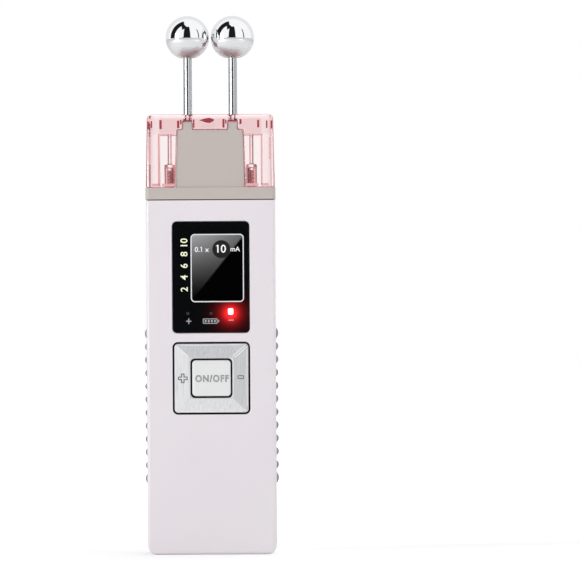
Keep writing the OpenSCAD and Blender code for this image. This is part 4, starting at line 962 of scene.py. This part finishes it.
# The walls are white in front and pale grey behind the object
behind = add(sky, "ShaderNodeMapRange", {1: 0.35, 2: 0.6}, {0: north},
             interpolation_type="SMOOTHSTEP").outputs[0]
walls = add(sky, "ShaderNodeMix", {6: (1.02, 1.02, 1.03, 1), 7: (0.9, 0.9, 0.91, 1)},
            {0: behind}, data_type="RGBA").outputs[2]
studio = add(sky, "ShaderNodeMix", {7: (0.012, 0.012, 0.013, 1)}, {0: dark, 6: walls},
             data_type="RGBA").outputs[2]
# The eye, straight or through the clear cover, sees a white backdrop
ray = add(sky, "ShaderNodeLightPath").outputs
seen = add(sky, "ShaderNodeMath", links={0: ray["Is Camera Ray"], 1: ray["Is Transmission Ray"]},
           operation="MAXIMUM").outputs[0]
shown = add(sky, "ShaderNodeMix", {7: (1, 1, 1, 1)}, {0: seen, 6: studio},
            data_type="RGBA").outputs[2]
light = add(sky, "ShaderNodeBackground", {"Strength": 1.0}, {"Color": shown})
add(sky, "ShaderNodeOutputWorld", links={"Surface": light.outputs[0]})


def floor_paper():
    """Matt white paper: its own white, and the light behind a photographer's sweep."""
    material, tree, out = new_material("paper_rolled_white")
    place = add(tree, "ShaderNodeTexCoord").outputs["Object"]
    fibre = add(tree, "ShaderNodeTexNoise", {"Scale": 1 / (2 * MM)},
                {"Vector": place}).outputs["Fac"]
    white = add(tree, "ShaderNodeMix", {6: linear("eeeeee"), 7: linear("f2f2f2")}, {0: fibre},
                data_type="RGBA").outputs[2]
    paper = add(tree, "ShaderNodeBsdfDiffuse", links={"Color": white}).outputs[0]
    ray = add(tree, "ShaderNodeLightPath").outputs
    seen = add(tree, "ShaderNodeMath", links={0: ray["Is Camera Ray"],
                                              1: ray["Is Transmission Ray"]},
               operation="MAXIMUM").outputs[0]
    # The light from behind the paper grows away from the object, whose shadow stays
    away = add(tree, "ShaderNodeVectorMath", links={0: place}, operation="LENGTH").outputs["Value"]
    behind = add(tree, "ShaderNodeMapRange", {1: 0.15, 2: 1.2, 3: 0.24, 4: 0.6},
                 {0: away}).outputs[0]
    lift = add(tree, "ShaderNodeMath", links={0: seen, 1: behind}, operation="MULTIPLY").outputs[0]
    glow = add(tree, "ShaderNodeEmission", links={"Strength": lift}).outputs[0]
    both = add(tree, "ShaderNodeAddShader", links={0: paper, 1: glow}).outputs[0]
    tree.links.new(both, out.inputs["Surface"])
    return material


floor_mesh = bmesh.new()
bmesh.ops.create_grid(floor_mesh, x_segments=8, y_segments=8, size=6.0)
sheet = bpy.data.meshes.new("floor")
floor_mesh.to_mesh(sheet)
floor_mesh.free()
sheet.materials.append(floor_paper())
floor = bpy.data.objects.new("floor", sheet)
bpy.context.scene.collection.objects.link(floor)


def soft_box(name, bearing, distance, height, size, radiance, mirrored=True):
    """An upright soft box that faces the object; bearing is degrees from the front to the right.

    mirrored says whether metal shows it.
    """
    lamp = bpy.data.lights.new(name, "AREA")
    lamp.shape, lamp.size, lamp.size_y = "RECTANGLE", *size
    lamp.energy = radiance * math.pi * size[0] * size[1]
    holder = bpy.data.objects.new(name, lamp)
    bpy.context.scene.collection.objects.link(holder)
    a = math.radians(bearing)
    holder.location = (distance * math.sin(a), -distance * math.cos(a), height)
    aim = Vector((0, 0, height)) - holder.location
    holder.rotation_euler = aim.to_track_quat("-Z", "Y").to_euler()
    holder.visible_transmission = False
    holder.visible_glossy = mirrored


soft_box("left_box", -57, 1.0, 0.27, (0.3, 0.5), 9.0)
soft_box("right_box", 50, 1.0, 0.27, (0.15, 0.5), 6.0, mirrored=False)
soft_box("back_box", 160, 1.0, 0.4, (0.5, 0.8), 1.5, mirrored=False)

# The camera stands where the photographer did: level, far off, leaning a third of a degree.
# AIM_X and AIM_Z are what the middle of the picture shows.
DISTANCE = 2.5
PICTURE, PIXEL = 580, 0.34 * MM
LEAN = math.radians(0.35)
AIM_X, AIM_Z = 26.88 * MM, 89.77 * MM
view = bpy.data.cameras.new("view")
view.sensor_width = 36
view.lens = view.sensor_width * DISTANCE / (PICTURE * PIXEL)
view.clip_start, view.clip_end = 0.1, 50
camera = bpy.data.objects.new("view", view)
bpy.context.scene.collection.objects.link(camera)
camera.matrix_world = (Matrix.Translation((AIM_X, FRONT_Y - DISTANCE, AIM_Z))
                       @ Matrix.Rotation(math.pi / 2, 4, "X") @ Matrix.Rotation(-LEAN, 4, "Z"))
bpy.context.scene.camera = camera
bpy.context.scene.view_settings.view_transform = "Standard"
